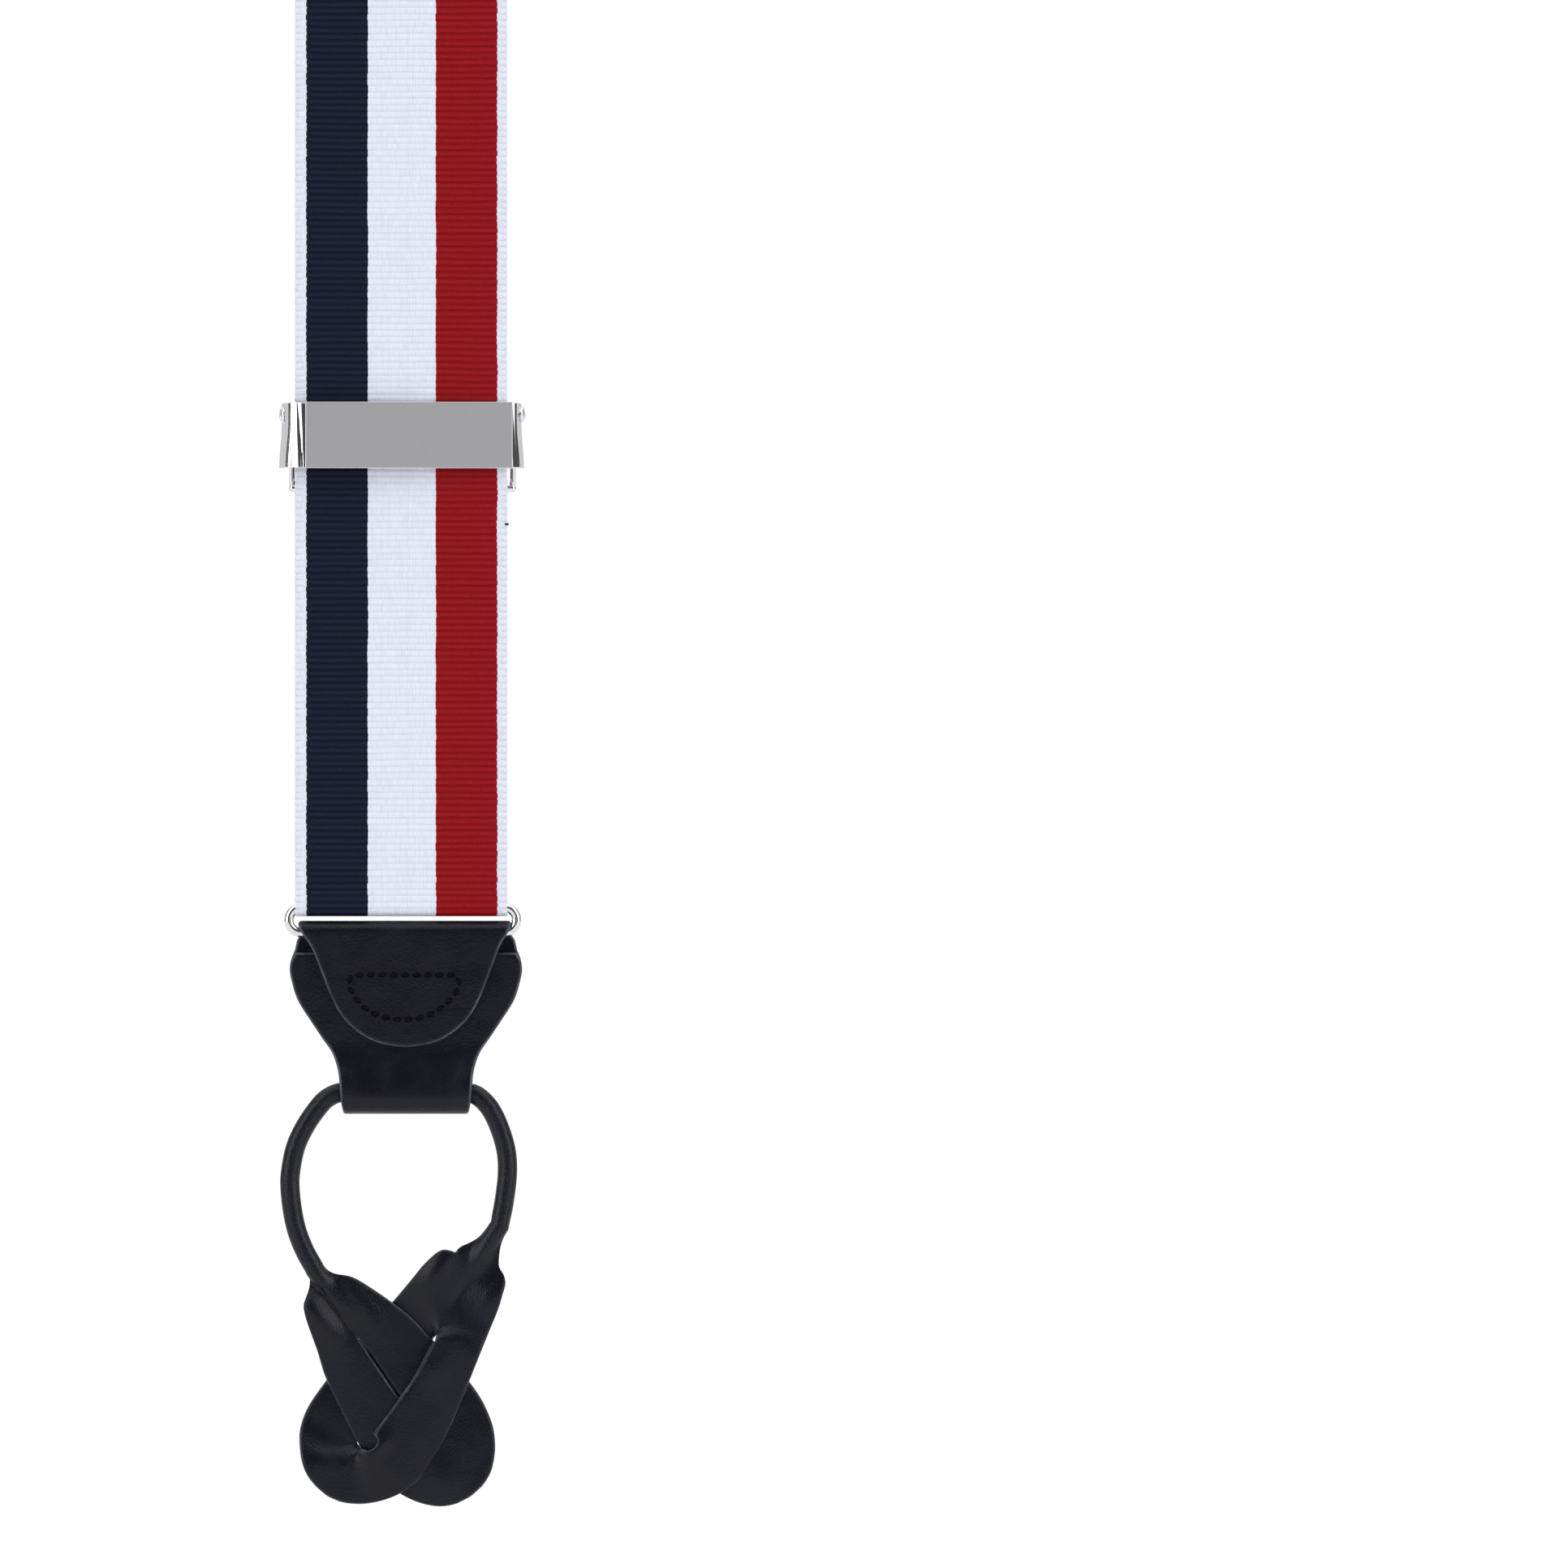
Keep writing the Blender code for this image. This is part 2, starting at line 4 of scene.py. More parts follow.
import bpy
import numpy as np
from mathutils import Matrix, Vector


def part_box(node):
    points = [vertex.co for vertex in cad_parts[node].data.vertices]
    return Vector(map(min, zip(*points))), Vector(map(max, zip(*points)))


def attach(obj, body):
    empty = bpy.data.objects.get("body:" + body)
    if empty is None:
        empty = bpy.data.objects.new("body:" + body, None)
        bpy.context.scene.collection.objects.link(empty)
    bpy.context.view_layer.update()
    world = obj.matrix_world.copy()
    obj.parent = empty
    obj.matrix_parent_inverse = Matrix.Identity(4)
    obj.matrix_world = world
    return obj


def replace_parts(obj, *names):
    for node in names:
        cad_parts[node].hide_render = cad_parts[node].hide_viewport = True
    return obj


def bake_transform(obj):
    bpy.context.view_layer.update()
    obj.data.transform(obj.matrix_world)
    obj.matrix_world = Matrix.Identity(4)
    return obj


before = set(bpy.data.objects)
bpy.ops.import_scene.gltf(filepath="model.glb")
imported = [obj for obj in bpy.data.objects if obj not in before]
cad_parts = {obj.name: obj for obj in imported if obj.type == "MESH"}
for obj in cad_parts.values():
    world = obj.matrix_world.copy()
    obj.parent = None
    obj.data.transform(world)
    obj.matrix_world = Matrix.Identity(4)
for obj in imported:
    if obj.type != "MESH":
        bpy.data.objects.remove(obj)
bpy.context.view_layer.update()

MM = 0.001
SIDES = (("right", 1), ("left", -1))
ENDS = ("right", "left", "rear")

# Sizes are in millimetres. On a button end, heights count from BAR_RISE above its ring's top
# bar, and depths from the middle of the front run of ribbon towards the wearer.
BAR_RISE, BAR_DEPTH = 0.4, 1.45
WIRE, CAD_WIRE = 0.86, 0.85      # half the ring's wire, here and in the frame
RING_HALF, RING_TURN, RING_DROP, RING_OFF = 20.25, 2.15, 4.4, 0.3
RIBBON_HALF, RIBBON_THICK, RIB, RIB_HEIGHT = 18.9, 0.46, 1.15, 0.10
REST = 30.0                      # radius of the rest that the straps hang over
MID = REST + 0.3
YOKE_SLANT = math.radians(15.0)  # of the straps down the back
SPLIT = 84.0                     # height where the strap ends and its doubled loop starts
ELASTIC_TOP = -146.0             # from the top of the rest, inside the yoke
LEATHER, END_SHIFT = 1.2, 0.95

# adjuster
YAW = math.radians(3.0)          # the casing sits slightly turned on its pin
YAW_DEPTH, YAW_OFF = 2.9, 0.2
CASING_HALF, CASING_LOW, CASING_HIGH = 20.7, 77.95, 89.5
PIN_DEPTH, PIN_HEIGHT = 2.6, 87.4
BAIL_DEPTH, BAIL_BAR, BAIL_HINGE = 3.9, 74.35, 80.2
LOOP_GRIP, LOOP_EYE = 2.3, BAIL_BAR - 0.8     # room for the bail to swing in the ribbon
TURN_IN, SEAM_ROWS = 58.0, (66.2, 63.4)       # the loop's turned-in end and its two seams

# places of the rows of points next to a cut edge, for thick and for thin material
EDGE_STEPS = np.array([0.0, 0.05, 0.18, 0.42, 0.8])
RIBBON_STEPS = np.array([0.0, 0.05, 0.2, 0.5])
LEVER_STEPS = np.array([0.0, 0.05, 0.15, 0.3])
METAL_STEPS = np.array([0.0, 0.02, 0.05, 0.1, 0.13, 0.3])

MIRROR = np.array([-1, 1])       # turns (x, other) points to the other side


# ---- numbers and curves
def ease(value):
    """Smooth step from 0 to 1."""
    value = np.clip(value, 0, 1)
    return value * value * (3 - 2 * value)


def span(value, low, high):
    return ease((np.asarray(value, float) - low) / (high - low))


def spline(points, step):
    """A rounded line through the points, sampled about every step millimetres."""
    spots = [np.array(p, float) for p in points]
    spots = [2 * spots[0] - spots[1]] + spots + [2 * spots[-1] - spots[-2]]
    line = []
    for a, b, c, d in zip(spots, spots[1:], spots[2:], spots[3:]):
        count = max(1, round(float(np.linalg.norm(c - b)) / step))
        for k in range(count):
            t = k / count
            line.append(0.5 * (2 * b + (c - a) * t + (2 * a - 5 * b + 4 * c - d) * t ** 2
                               + (3 * b - a - 3 * c + d) * t ** 3))
    return np.array(line + [spots[-2]])


def curve_value(table, at):
    """Smooth reading of a table of (place, value) rows."""
    line = spline(table, 0.4)
    order = np.argsort(line[:, 0])
    return np.interp(at, line[order, 0], line[order, 1])


def lengths(line):
    """Distance along a line at each of its points."""
    return np.concatenate([[0], np.cumsum(np.linalg.norm(np.diff(line, axis=0), axis=1))])


def along(line, at):
    """Each coordinate of a line at some distances along it."""
    run = lengths(line)
    return [np.interp(at, run, column) for column in line.T]


def arc(centre, radius, start, end, count=14):
    """Points on a circle between two angles in degrees."""
    turn = np.radians(np.linspace(start, end, count))
    return np.stack([centre[0] + radius * np.cos(turn), centre[1] + radius * np.sin(turn)], 1)


def s_bend(start, end, count=16):
    """A gentle change of the first coordinate while the second runs evenly; start left out."""
    share = np.linspace(0, 1, count)[1:]
    return np.stack([start[0] + (end[0] - start[0]) * ease(share),
                     start[1] + (end[1] - start[1]) * share], 1)


def spaced(low, high, inner, steps=EDGE_STEPS):
    """Places from low to high for every row, crowded at both ends to shape a rounded edge."""
    low, high = np.broadcast_arrays(np.asarray(low, float), np.asarray(high, float))
    scale = np.minimum(1, (high - low) / (4 * steps[-1]))[..., None]
    near = steps * scale
    share = np.linspace(0, 1, inner + 2)[1:-1]
    a, b = low[..., None] + near[..., -1:], high[..., None] - near[..., -1:]
    return np.concatenate([low[..., None] + near, a + (b - a) * share,
                           (high[..., None] - near)[..., ::-1]], axis=-1)


def edge_distance(points, outlines):
    """Distance of 2-D points to the nearest of some polylines."""
    flat = points.reshape(-1, 2)
    best = np.full(len(flat), 1e9)
    for line in outlines:
        for a, b in zip(line[:-1], line[1:]):
            way = b - a
            t = np.clip((flat - a) @ way / max(way @ way, 1e-12), 0, 1)
            best = np.minimum(best, np.linalg.norm(flat - a - t[:, None] * way, axis=1))
    return best.reshape(points.shape[:-1])


def rounded(distance, thick, radius):
    """Half thickness of a sheet near its edge."""
    short = 1 - np.clip(distance / radius, 0, 1)
    return thick / 2 * np.sqrt(np.maximum(0, 1 - short ** 2))


def ripple(x, z, seed, scale):
    """Smooth unevenness between about -1 and 1, the same each run."""
    draw = np.random.default_rng(seed)
    total = 0
    for _ in range(5):
        way = draw.normal(size=2)
        total = total + np.sin((way[0] * x + way[1] * z) / scale + draw.uniform(0, 6.28))
    return total / 3.2


# ---- mesh builders
def piece(name, points, faces, finish, values=None):
    """A smooth mesh object from points in millimetres, with named values for its material."""
    mesh = bpy.data.meshes.new(name)
    mesh.from_pydata((np.asarray(points) * MM).tolist(), [], faces)
    mesh.polygons.foreach_set("use_smooth", [True] * len(mesh.polygons))
    for label, row in (values or {}).items():
        mesh.attributes.new(label, "FLOAT", "POINT").data.foreach_set(
            "value", np.asarray(row, np.float32).ravel())
    mesh.materials.append(finish)
    made = bpy.data.objects.new(name, mesh)
    bpy.context.scene.collection.objects.link(made)
    return made


def slab(name, mid, half, finish, values=None, hole=None):
    """A closed sheet round a grid of middle points; front and back meet along every edge."""
    rows, columns = half.shape
    normal = np.cross(np.gradient(mid, axis=0), np.gradient(mid, axis=1))
    normal /= np.linalg.norm(normal, axis=2)[..., None] + 1e-12
    rim = np.zeros((rows, columns), bool)
    rim[0] = rim[-1] = True
    rim[:, 0] = rim[:, -1] = True
    keep = np.ones((rows - 1, columns - 1), bool)
    if hole is not None:
        keep = ~hole
        gone = np.zeros((rows + 1, columns + 1), bool)
        gone[1:-1, 1:-1] = hole
        rim |= gone[:-1, :-1] | gone[1:, :-1] | gone[:-1, 1:] | gone[1:, 1:]
    front = np.where(rim[..., None], mid, mid + normal * half[..., None])
    inner = ~rim
    here = np.arange(rows * columns).reshape(rows, columns)
    behind = here.copy()
    behind[inner] = rows * columns + np.arange(inner.sum())
    points = np.concatenate([front.reshape(-1, 3), (mid - normal * half[..., None])[inner]])
    faces = []
    for index, order in ((here, (0, 1, 2, 3)), (behind, (0, 3, 2, 1))):
        corner = (index[:-1, :-1][keep], index[1:, :-1][keep],
                  index[1:, 1:][keep], index[:-1, 1:][keep])
        faces += np.stack([corner[k] for k in order], axis=1).tolist()
    values = {label: np.concatenate([row.ravel(), row[inner]])
              for label, row in (values or {}).items()}
    return piece(name, points, faces, finish, values)


def tube_faces(count, sides, closed=False):
    """Faces of a tube of count rings of points; an open tube gets a face at each end."""
    faces = []
    for r in range(count if closed else count - 1):
        n = (r + 1) % count
        faces += [(r * sides + c, r * sides + (c + 1) % sides,
                   n * sides + (c + 1) % sides, n * sides + c) for c in range(sides)]
    if not closed:
        faces.append(tuple(range(sides - 1, -1, -1)))
        faces.append(tuple((count - 1) * sides + c for c in range(sides)))
    return faces


def wire(path, radius, sides=16, closed=False):
    """Points and faces of a round wire along a path, with round ends."""
    line = np.asarray(path, float)
    radius = np.broadcast_to(radius, len(line)).astype(float)
    if closed:
        way = np.roll(line, -1, axis=0) - np.roll(line, 1, axis=0)
    else:
        way = np.gradient(line, axis=0)
        caps = np.radians([88, 65, 40, 18])
        first, last = way[0] / np.linalg.norm(way[0]), way[-1] / np.linalg.norm(way[-1])
        head = [line[0] - first * radius[0] * math.sin(a) for a in caps]
        tail = [line[-1] + last * radius[-1] * math.sin(a) for a in caps[::-1]]
        radius = np.concatenate([radius[0] * np.cos(caps), radius,
                                 radius[-1] * np.cos(caps[::-1])])
        line = np.concatenate([head, line, tail])
        way = np.concatenate([[way[0]] * len(caps), way, [way[-1]] * len(caps)])
    way = way / np.linalg.norm(way, axis=1)[:, None]
    side = np.cross(way[0], [0.31, 0.87, 0.38])
    turns = 2 * np.pi * (np.arange(sides) + 0.5) / sides
    points = []
    for spot, heading, thick in zip(line, way, radius):
        side = side - heading * (side @ heading)
        side /= np.linalg.norm(side)
        other = np.cross(heading, side)
        points.append(spot + thick * (np.cos(turns)[:, None] * side
                                      + np.sin(turns)[:, None] * other))
    return np.concatenate(points), tube_faces(len(line), sides, closed)


def joined(name, parts, finish):
    """One piece from several lots of points and faces."""
    points, faces, start = [], [], 0
    for some, more in parts:
        points.append(some)
        faces += [tuple(k + start for k in face) for face in more]
        start += len(some)
    return piece(name, np.concatenate(points), faces, finish)


def stitches(name, line, outward, pitch, length, thick, finish, sink=0.1, lean=0.0):
    """Sewing thread along a line: one rounded thread hump for every stitch."""
    run = lengths(line)
    count = max(1, int(round(run[-1] / pitch)))
    parts = []
    outward = np.asarray(outward, float)
    for k in range(count):
        at = (k + 0.5) * run[-1] / count
        share = np.linspace(-0.5, 0.5, 7)
        spots = np.stack(along(line, at + share * length), 1)
        way = spots[-1] - spots[0]
        spots = spots + np.cross(outward, way) * lean * share[:, None]
        hump = thick * 0.5 * (1 - (2 * share) ** 4) - sink
        parts.append(wire(spots + outward * hump[:, None],
                          thick / 2 * (1 - 0.35 * (2 * share) ** 2), 8))
    return joined(name, parts, finish)


# ---- materials
class Graph:
    """Short calls for building a node tree; every value is a number or a socket."""

    def __init__(self, tree):
        self.tree = tree

    def new(self, kind, *inputs, **settings):
        node = self.tree.nodes.new("ShaderNode" + kind)
        for key, value in settings.items():
            setattr(node, key, value)
        for k, value in enumerate(inputs):
            self.feed(value, node.inputs[k])
        return node

    def feed(self, value, socket):
        if value is None:
            return
        if isinstance(value, bpy.types.NodeSocket):
            self.tree.links.new(value, socket)
        else:
            socket.default_value = value

    def math(self, how, a, b=None):
        return self.new("Math", a, b, operation=how).outputs[0]

    def plus(self, a, b):
        return self.math("ADD", a, b)

    def minus(self, a, b):
        return self.math("SUBTRACT", a, b)

    def times(self, a, b):
        return self.math("MULTIPLY", a, b)

    def ramp(self, value, low, high, out_low=0.0, out_high=1.0):
        return self.new("MapRange", value, low, high, out_low, out_high,
                        interpolation_type="SMOOTHSTEP").outputs[0]


class Finish(Graph):
    """A material, with the values and patterns that its nodes draw on."""

    def __init__(self, name):
        self.made = bpy.data.materials.new(name)
        self.made.use_nodes = True
        super().__init__(self.made.node_tree)
        self.shader = self.tree.nodes["Principled BSDF"]

    def value(self, label):
        return self.new("Attribute", attribute_name=label).outputs["Fac"]

    def vector(self, x, y, z=0.0):
        return self.new("CombineXYZ", x, y, z).outputs[0]

    def place(self):
        return self.new("TexCoord").outputs["Object"]

    def scaled(self, vector, factor):
        node = self.new("VectorMath", vector, operation="SCALE")
        self.feed(factor, node.inputs["Scale"])
        return node.outputs[0]

    def together(self, a, b):
        return self.new("VectorMath", a, b, operation="ADD").outputs[0]

    def noise(self, vector, scale, detail=2.0, rough=0.5, output="Fac"):
        node = self.new("TexNoise")
        self.feed(vector, node.inputs["Vector"])
        for label, value in (("Scale", scale), ("Detail", detail), ("Roughness", rough)):
            node.inputs[label].default_value = value
        return node.outputs[output]

    def random(self, vector):
        return self.new("TexWhiteNoise", vector, noise_dimensions="3D").outputs["Value"]

    def mix(self, share, a, b):
        node = self.new("Mix", data_type="RGBA")
        self.feed(share, node.inputs[0])
        self.feed(a, node.inputs[6])
        self.feed(b, node.inputs[7])
        return node.outputs[2]

    def bump(self, height, distance, strength=1.0, under=None):
        node = self.new("Bump")
        node.inputs["Strength"].default_value = strength
        node.inputs["Distance"].default_value = distance
        self.feed(height, node.inputs["Height"])
        self.feed(under, node.inputs["Normal"])
        return node.outputs[0]

    def finish(self, colour=None, roughness=None, normal=None, **fixed):
        self.feed(colour, self.shader.inputs["Base Color"])
        self.feed(roughness, self.shader.inputs["Roughness"])
        self.feed(normal, self.shader.inputs["Normal"])
        for label, value in fixed.items():
            self.shader.inputs[label.replace("_", " ")].default_value = value
        return self.made


# a colour's fourth number is how bright the painted groove shade leaves the grooves between the
# ribs
WHITE = (0.785, 0.815, 0.925, 0.92)
NAVY = (0.0058, 0.0090, 0.031, 0.30)
RED = (0.30, 0.0030, 0.0070, 0.66)
STRIPES = ((0, WHITE), (2, NAVY), (12.9, WHITE), (25, RED), (36, WHITE))
EDGE_BLACK, BLACK = (0.012, 0.012, 0.015, 0.5), (0.009, 0.009, 0.012, 0.5)
BANDS = ((0, EDGE_BLACK), (1.6, BLACK), (36.2, EDGE_BLACK))


def woven(name, stripes, yarn, glow, wander):
    """Ribbed weave: 'across' is millimetres from one edge, 'along' counts the ribs."""
    n = Finish(name)
    across, along = n.value("across"), n.value("along")
    rib = n.math("FLOOR", along)
    shift = n.minus(n.random(n.vector(rib, 3.7, 1)), 0.5)
    slow = n.minus(n.noise(n.vector(n.times(along, 0.09), across), 1), 0.5)
    moved = n.plus(across, n.times(shift, wander))
    moved = n.plus(moved, n.times(slow, wander * 2))
    ramp = n.new("ValToRGB")
    ramp.color_ramp.interpolation = "CONSTANT"
    marks = ramp.color_ramp.elements
    marks.remove(marks[1])
    for k, (start, colour) in enumerate(stripes):
        mark = marks[0] if k == 0 else marks.new(start / (2 * RIBBON_HALF))
        mark.color = colour
    n.feed(n.math("DIVIDE", moved, 2 * RIBBON_HALF), ramp.inputs[0])
    yarns = n.math("DIVIDE", across, yarn)
    thread = n.math("FLOOR", yarns)
    speck = n.random(n.vector(thread, rib, 0.5))
    streak = n.random(n.vector(thread, 11, 2.5))
    tone = n.plus(n.times(speck, 0.07), n.times(streak, 0.03))
    # painted shade: the colour darkens towards the groove between ribs, by the stripe's fourth
    # number, a little more near the selvedges
    within = n.math("ABSOLUTE", n.minus(n.math("FRACT", along), 0.5))
    rim = n.ramp(n.math("ABSOLUTE", n.minus(across, RIBBON_HALF)), 17.6, 18.6)
    fold = n.plus(n.minus(1, ramp.outputs["Alpha"]), n.times(rim, 0.06))
    painted_groove_shade = n.minus(1, n.times(fold, n.ramp(within, 0.22, 0.5)))
    level = n.times(n.plus(tone, 0.96), painted_groove_shade)
    # painted highlight: a faint brightening added along each rib's crest, stronger on some ribs
    # than others
    crest = n.times(n.ramp(within, 0.02, 0.24, 1, 0), 0.0045)
    crest = n.times(crest, n.ramp(speck, 0, 1, 0.5, 1.5))
    shade = n.together(n.scaled(ramp.outputs[0], level), n.vector(crest, crest, crest))
    twist = n.math("SINE", n.times(yarns, 2 * math.pi))
    fuzz = n.noise(n.vector(n.times(across, 9), n.times(along, 7)), 1, 3)
    height = n.plus(n.times(twist, 0.5), n.times(fuzz, 0.9))
    rough = n.ramp(speck, 0, 1, 0.42, 0.6)
    return n.finish(shade, rough, n.bump(height, 0.00004, 0.8),
                    Sheen_Weight=glow, Sheen_Roughness=0.35, Specular_IOR_Level=0.09)


def leather():
    """Black dyed calf: fine pebble, creases, and paler cut edges where 'edge' is small."""
    n = Finish("black_calf")
    spot = n.place()
    wobble = n.scaled(n.noise(spot, 900, output="Color"), 0.0006)
    cell = n.new("TexVoronoi", n.together(spot, wobble), feature="DISTANCE_TO_EDGE")
    cell.inputs["Scale"].default_value = 1500
    pebble = n.ramp(cell.outputs["Distance"], 0, 0.28)
    broad = n.noise(spot, 160, 3)
    height = n.plus(n.times(pebble, 0.6), n.times(n.noise(spot, 5200), 0.7))
    base = n.mix(n.times(n.ramp(broad, 0.45, 0.75), 0.6), (0.0018, 0.0023, 0.0070, 1),
                 (0.0040, 0.0047, 0.0112, 1))
    ragged = n.times(n.minus(n.noise(spot, 1700), 0.5), 0.16)
    cut = n.ramp(n.plus(n.value("edge"), ragged), 0.20, 0.42, 1, 0)
    cut = n.times(cut, n.ramp(n.noise(spot, 300), 0.3, 0.7, 0.35, 1))
    colour = n.mix(cut, base, (0.080, 0.103, 0.130, 1))
    specks = n.ramp(n.noise(spot, 3300, 3, 0.7), 0.42, 0.72)
    rub = n.times(n.times(specks, n.value("rub")), 0.38)
    colour = n.mix(rub, colour, (0.030, 0.032, 0.042, 1))
    rough = n.plus(n.ramp(broad, 0.3, 0.75, 0.30, 0.40), n.times(cut, 0.3))
    soft = n.bump(n.noise(spot, 330), 0.00025, 0.35)
    return n.finish(colour, rough, n.bump(height, 0.00004, 0.75, soft), Specular_IOR_Level=0.28)


def chrome():
    """Bright plating with a faint haze."""
    n = Finish("polished_chrome")
    spot = n.place()
    haze = n.noise(spot, 240, 3)
    colour = n.mix(n.ramp(haze, 0.35, 0.8), (0.80, 0.795, 0.83, 1), (0.785, 0.78, 0.815, 1))
    return n.finish(colour, n.ramp(haze, 0.3, 0.8, 0.06, 0.09),
                    n.bump(n.noise(spot, 6000), 0.000003, 0.35), Metallic=1)


def thread(name, colour):
    """Twisted sewing thread."""
    n = Finish(name)
    spot = n.place()
    ply = n.new("TexWave", spot, wave_type="BANDS", bands_direction="DIAGONAL")
    ply.inputs["Scale"].default_value = 900
    ply.inputs["Distortion"].default_value = 1.5
    tone = n.ramp(n.noise(spot, 2600), 0.2, 0.8, 0.7, 1.3)
    return n.finish(n.scaled(colour, tone), 0.5, n.bump(ply.outputs["Fac"], 0.00006, 0.7),
                    Specular_IOR_Level=0.08)


def floor_finish():
    """Matt pale floor."""
    n = Finish("pale_floor")
    tone = n.ramp(n.noise(n.place(), 6, 3), 0.2, 0.8)
    return n.finish(n.mix(tone, (0.80, 0.80, 0.81, 1), (0.83, 0.83, 0.835, 1)), 0.85,
                    n.bump(n.noise(n.place(), 700), 0.0003, 0.2))


RIBBON = woven("striped_grosgrain", STRIPES, 0.21, 0.02, 0.12)
ELASTIC = woven("black_elastic_web", BANDS, 0.45, 0.05, 0.1)
HIDE, CHROME = leather(), chrome()
BLACK_THREAD = thread("waxed_black_thread", (0.0008, 0.0008, 0.0010))
NAVY_THREAD = thread("navy_thread", (0.012, 0.016, 0.04))


# ---- where things are
class Spot:
    """Places on a button end, in millimetres: across, depth behind the front run, height."""

    def __init__(self, tag):
        low, high = (np.array(c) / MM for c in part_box("ring_" + tag))
        self.way = -1 if tag == "rear" else 1
        middle = (low + high) / 2
        self.x = middle[0] - self.way * RING_OFF
        self.y = middle[1] - self.way * BAR_DEPTH
        self.z = high[2] - CAD_WIRE + BAR_RISE

    def __call__(self, x, depth, height):
        x, depth, height = np.broadcast_arrays(*(np.asarray(v, float)
                                                 for v in (x, depth, height)))
        return np.stack([self.x + self.way * x, self.y + self.way * depth, self.z + height], -1)


def yawed(x, depth):
    """Turn a place of the casing about the adjuster's upright middle line."""
    x, depth = np.asarray(x, float), np.asarray(depth, float)
    c, s = math.cos(YAW), math.sin(YAW)
    return YAW_OFF + c * x - s * (depth - YAW_DEPTH), YAW_DEPTH + s * x + c * (depth - YAW_DEPTH)


# ---- ribbon
def rib_rows(total, pitch):
    """Distances along the ribbon and rib counts, five rows to a rib."""
    within = np.array([0.0, 0.13, 0.36, 0.64, 0.87])
    ribs = np.arange(int(total / pitch))
    count = (ribs[:, None] + within).ravel()
    return np.concatenate([count * pitch, [total]]), np.concatenate([count, [total / pitch]])


def ribbon(name, surface, total, pitch, thick, height, finish, seed):
    """A ribbed band: surface(distance, across) gives the middle of the cloth."""
    at, count = rib_rows(total, pitch)
    across = spaced(-RIBBON_HALF, RIBBON_HALF, 7, RIBBON_STEPS)
    shape = (len(at), len(across))
    hill = np.abs(np.sin(np.pi * count)) ** 0.55
    bulge = 0.17 * (hill - 0.6)
    u = np.broadcast_to(across, shape) * (1 + bulge[:, None] / RIBBON_HALF)
    slope = 0.10 * ripple(u, at[:, None], seed, 6) + 0.12 * ripple(u, at[:, None], seed + 1, 25)
    mid = surface(at[:, None] + slope, u)
    near_end = np.minimum(at, at[-1] - at)[:, None]
    near = np.minimum(RIBBON_HALF - np.abs(np.broadcast_to(across, shape)), near_end)
    half = rounded(near, thick, 0.3) + height * (hill[:, None] - 0.4) * np.clip(near / 0.4, 0, 1)
    values = {"across": np.broadcast_to(across + RIBBON_HALF, shape),
              "along": np.broadcast_to(count[:, None], shape)}
    return slab(name, mid, half, finish, values)


def path_surface(spot, path):
    """A band of ribbon along a path of (depth, height)."""
    return lambda at, u: spot(u, *along(path, at))


def strap_surface(side, x0, top):
    """The strap over the shoulder, as a function of distance from its lower end."""
    slant, over, steps = YOKE_SLANT, math.pi * MID, 80
    heading = slant * ease((np.arange(steps) + 0.5) / steps)
    x = x0 - np.concatenate([[0], np.cumsum(over / steps * np.tan(heading))])
    end_x = 0.5 + RIBBON_HALF * math.cos(slant)
    fall = (x[-1] - end_x) / math.tan(slant)
    runs = np.concatenate([[-top], np.linspace(0, over, steps + 1), [over + fall]])
    xs = np.concatenate([[x0], x, [end_x]])
    turns = slant * np.concatenate([[0], ease(np.linspace(0, 1, steps + 1)), [1]])
    steps_run = np.concatenate([[0], np.cumsum(np.hypot(np.diff(runs), np.diff(xs)))])

    def surface(at, u):
        run, cx, head = (np.interp(at, steps_run, row) for row in (runs, xs, turns))
        place = run + u * np.sin(head)
        turn = np.clip(place / MID, 0, math.pi)
        z = -REST + MID * np.sin(turn) + np.minimum(place, 0) - np.maximum(place - over, 0)
        return np.stack([side * (cx + u * np.cos(head)), -MID * np.cos(turn), z], -1)
    return surface, steps_run[-1]


def straps():
    for tag, side in SIDES:
        spot = Spot(tag)
        run = -(spot.z + SPLIT) - REST
        surface, total = strap_surface(side, abs(spot.x), run)
        made = ribbon("ribbon_strap_" + tag, surface, total, RIB, RIBBON_THICK, RIB_HEIGHT,
                      RIBBON, 3)
        if side < 0:
            made.data.flip_normals()
        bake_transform(made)
        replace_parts(made, "strap_" + tag)


def loop_path():
    """The doubled lower length: down from the adjuster, round the ring, up to the bail."""
    wrap = WIRE + RIBBON_THICK / 2 + 0.16
    return np.concatenate([
        [(0, SPLIT + 0.5), (0, 40), (0, 12)],
        s_bend((0, 12), (BAR_DEPTH - wrap, -BAR_RISE)),
        arc((BAR_DEPTH, -BAR_RISE), wrap, 180, 360)[1:],
        s_bend((BAR_DEPTH + wrap, -BAR_RISE), (2.3, 12)), [(2.3, 20)],
        s_bend((2.3, 20), (BAIL_DEPTH, 50)), [(BAIL_DEPTH, TURN_IN)],
        s_bend((BAIL_DEPTH, TURN_IN), (BAIL_DEPTH + LOOP_GRIP, LOOP_EYE)),
        arc((BAIL_DEPTH, LOOP_EYE), LOOP_GRIP, 0, 180)[1:],
        s_bend((BAIL_DEPTH - LOOP_GRIP, LOOP_EYE), (3.2, 67))[:-1],
        [(3.2, 64), (3.25, TURN_IN)]])


def mirror_stripes(made):
    """Turn the stripes of a ribbon round, so that both sides of the pair match."""
    stripe = made.data.attributes["across"].data
    row = np.zeros(len(stripe), np.float32)
    stripe.foreach_get("value", row)
    stripe.foreach_set("value", 2 * RIBBON_HALF - row)


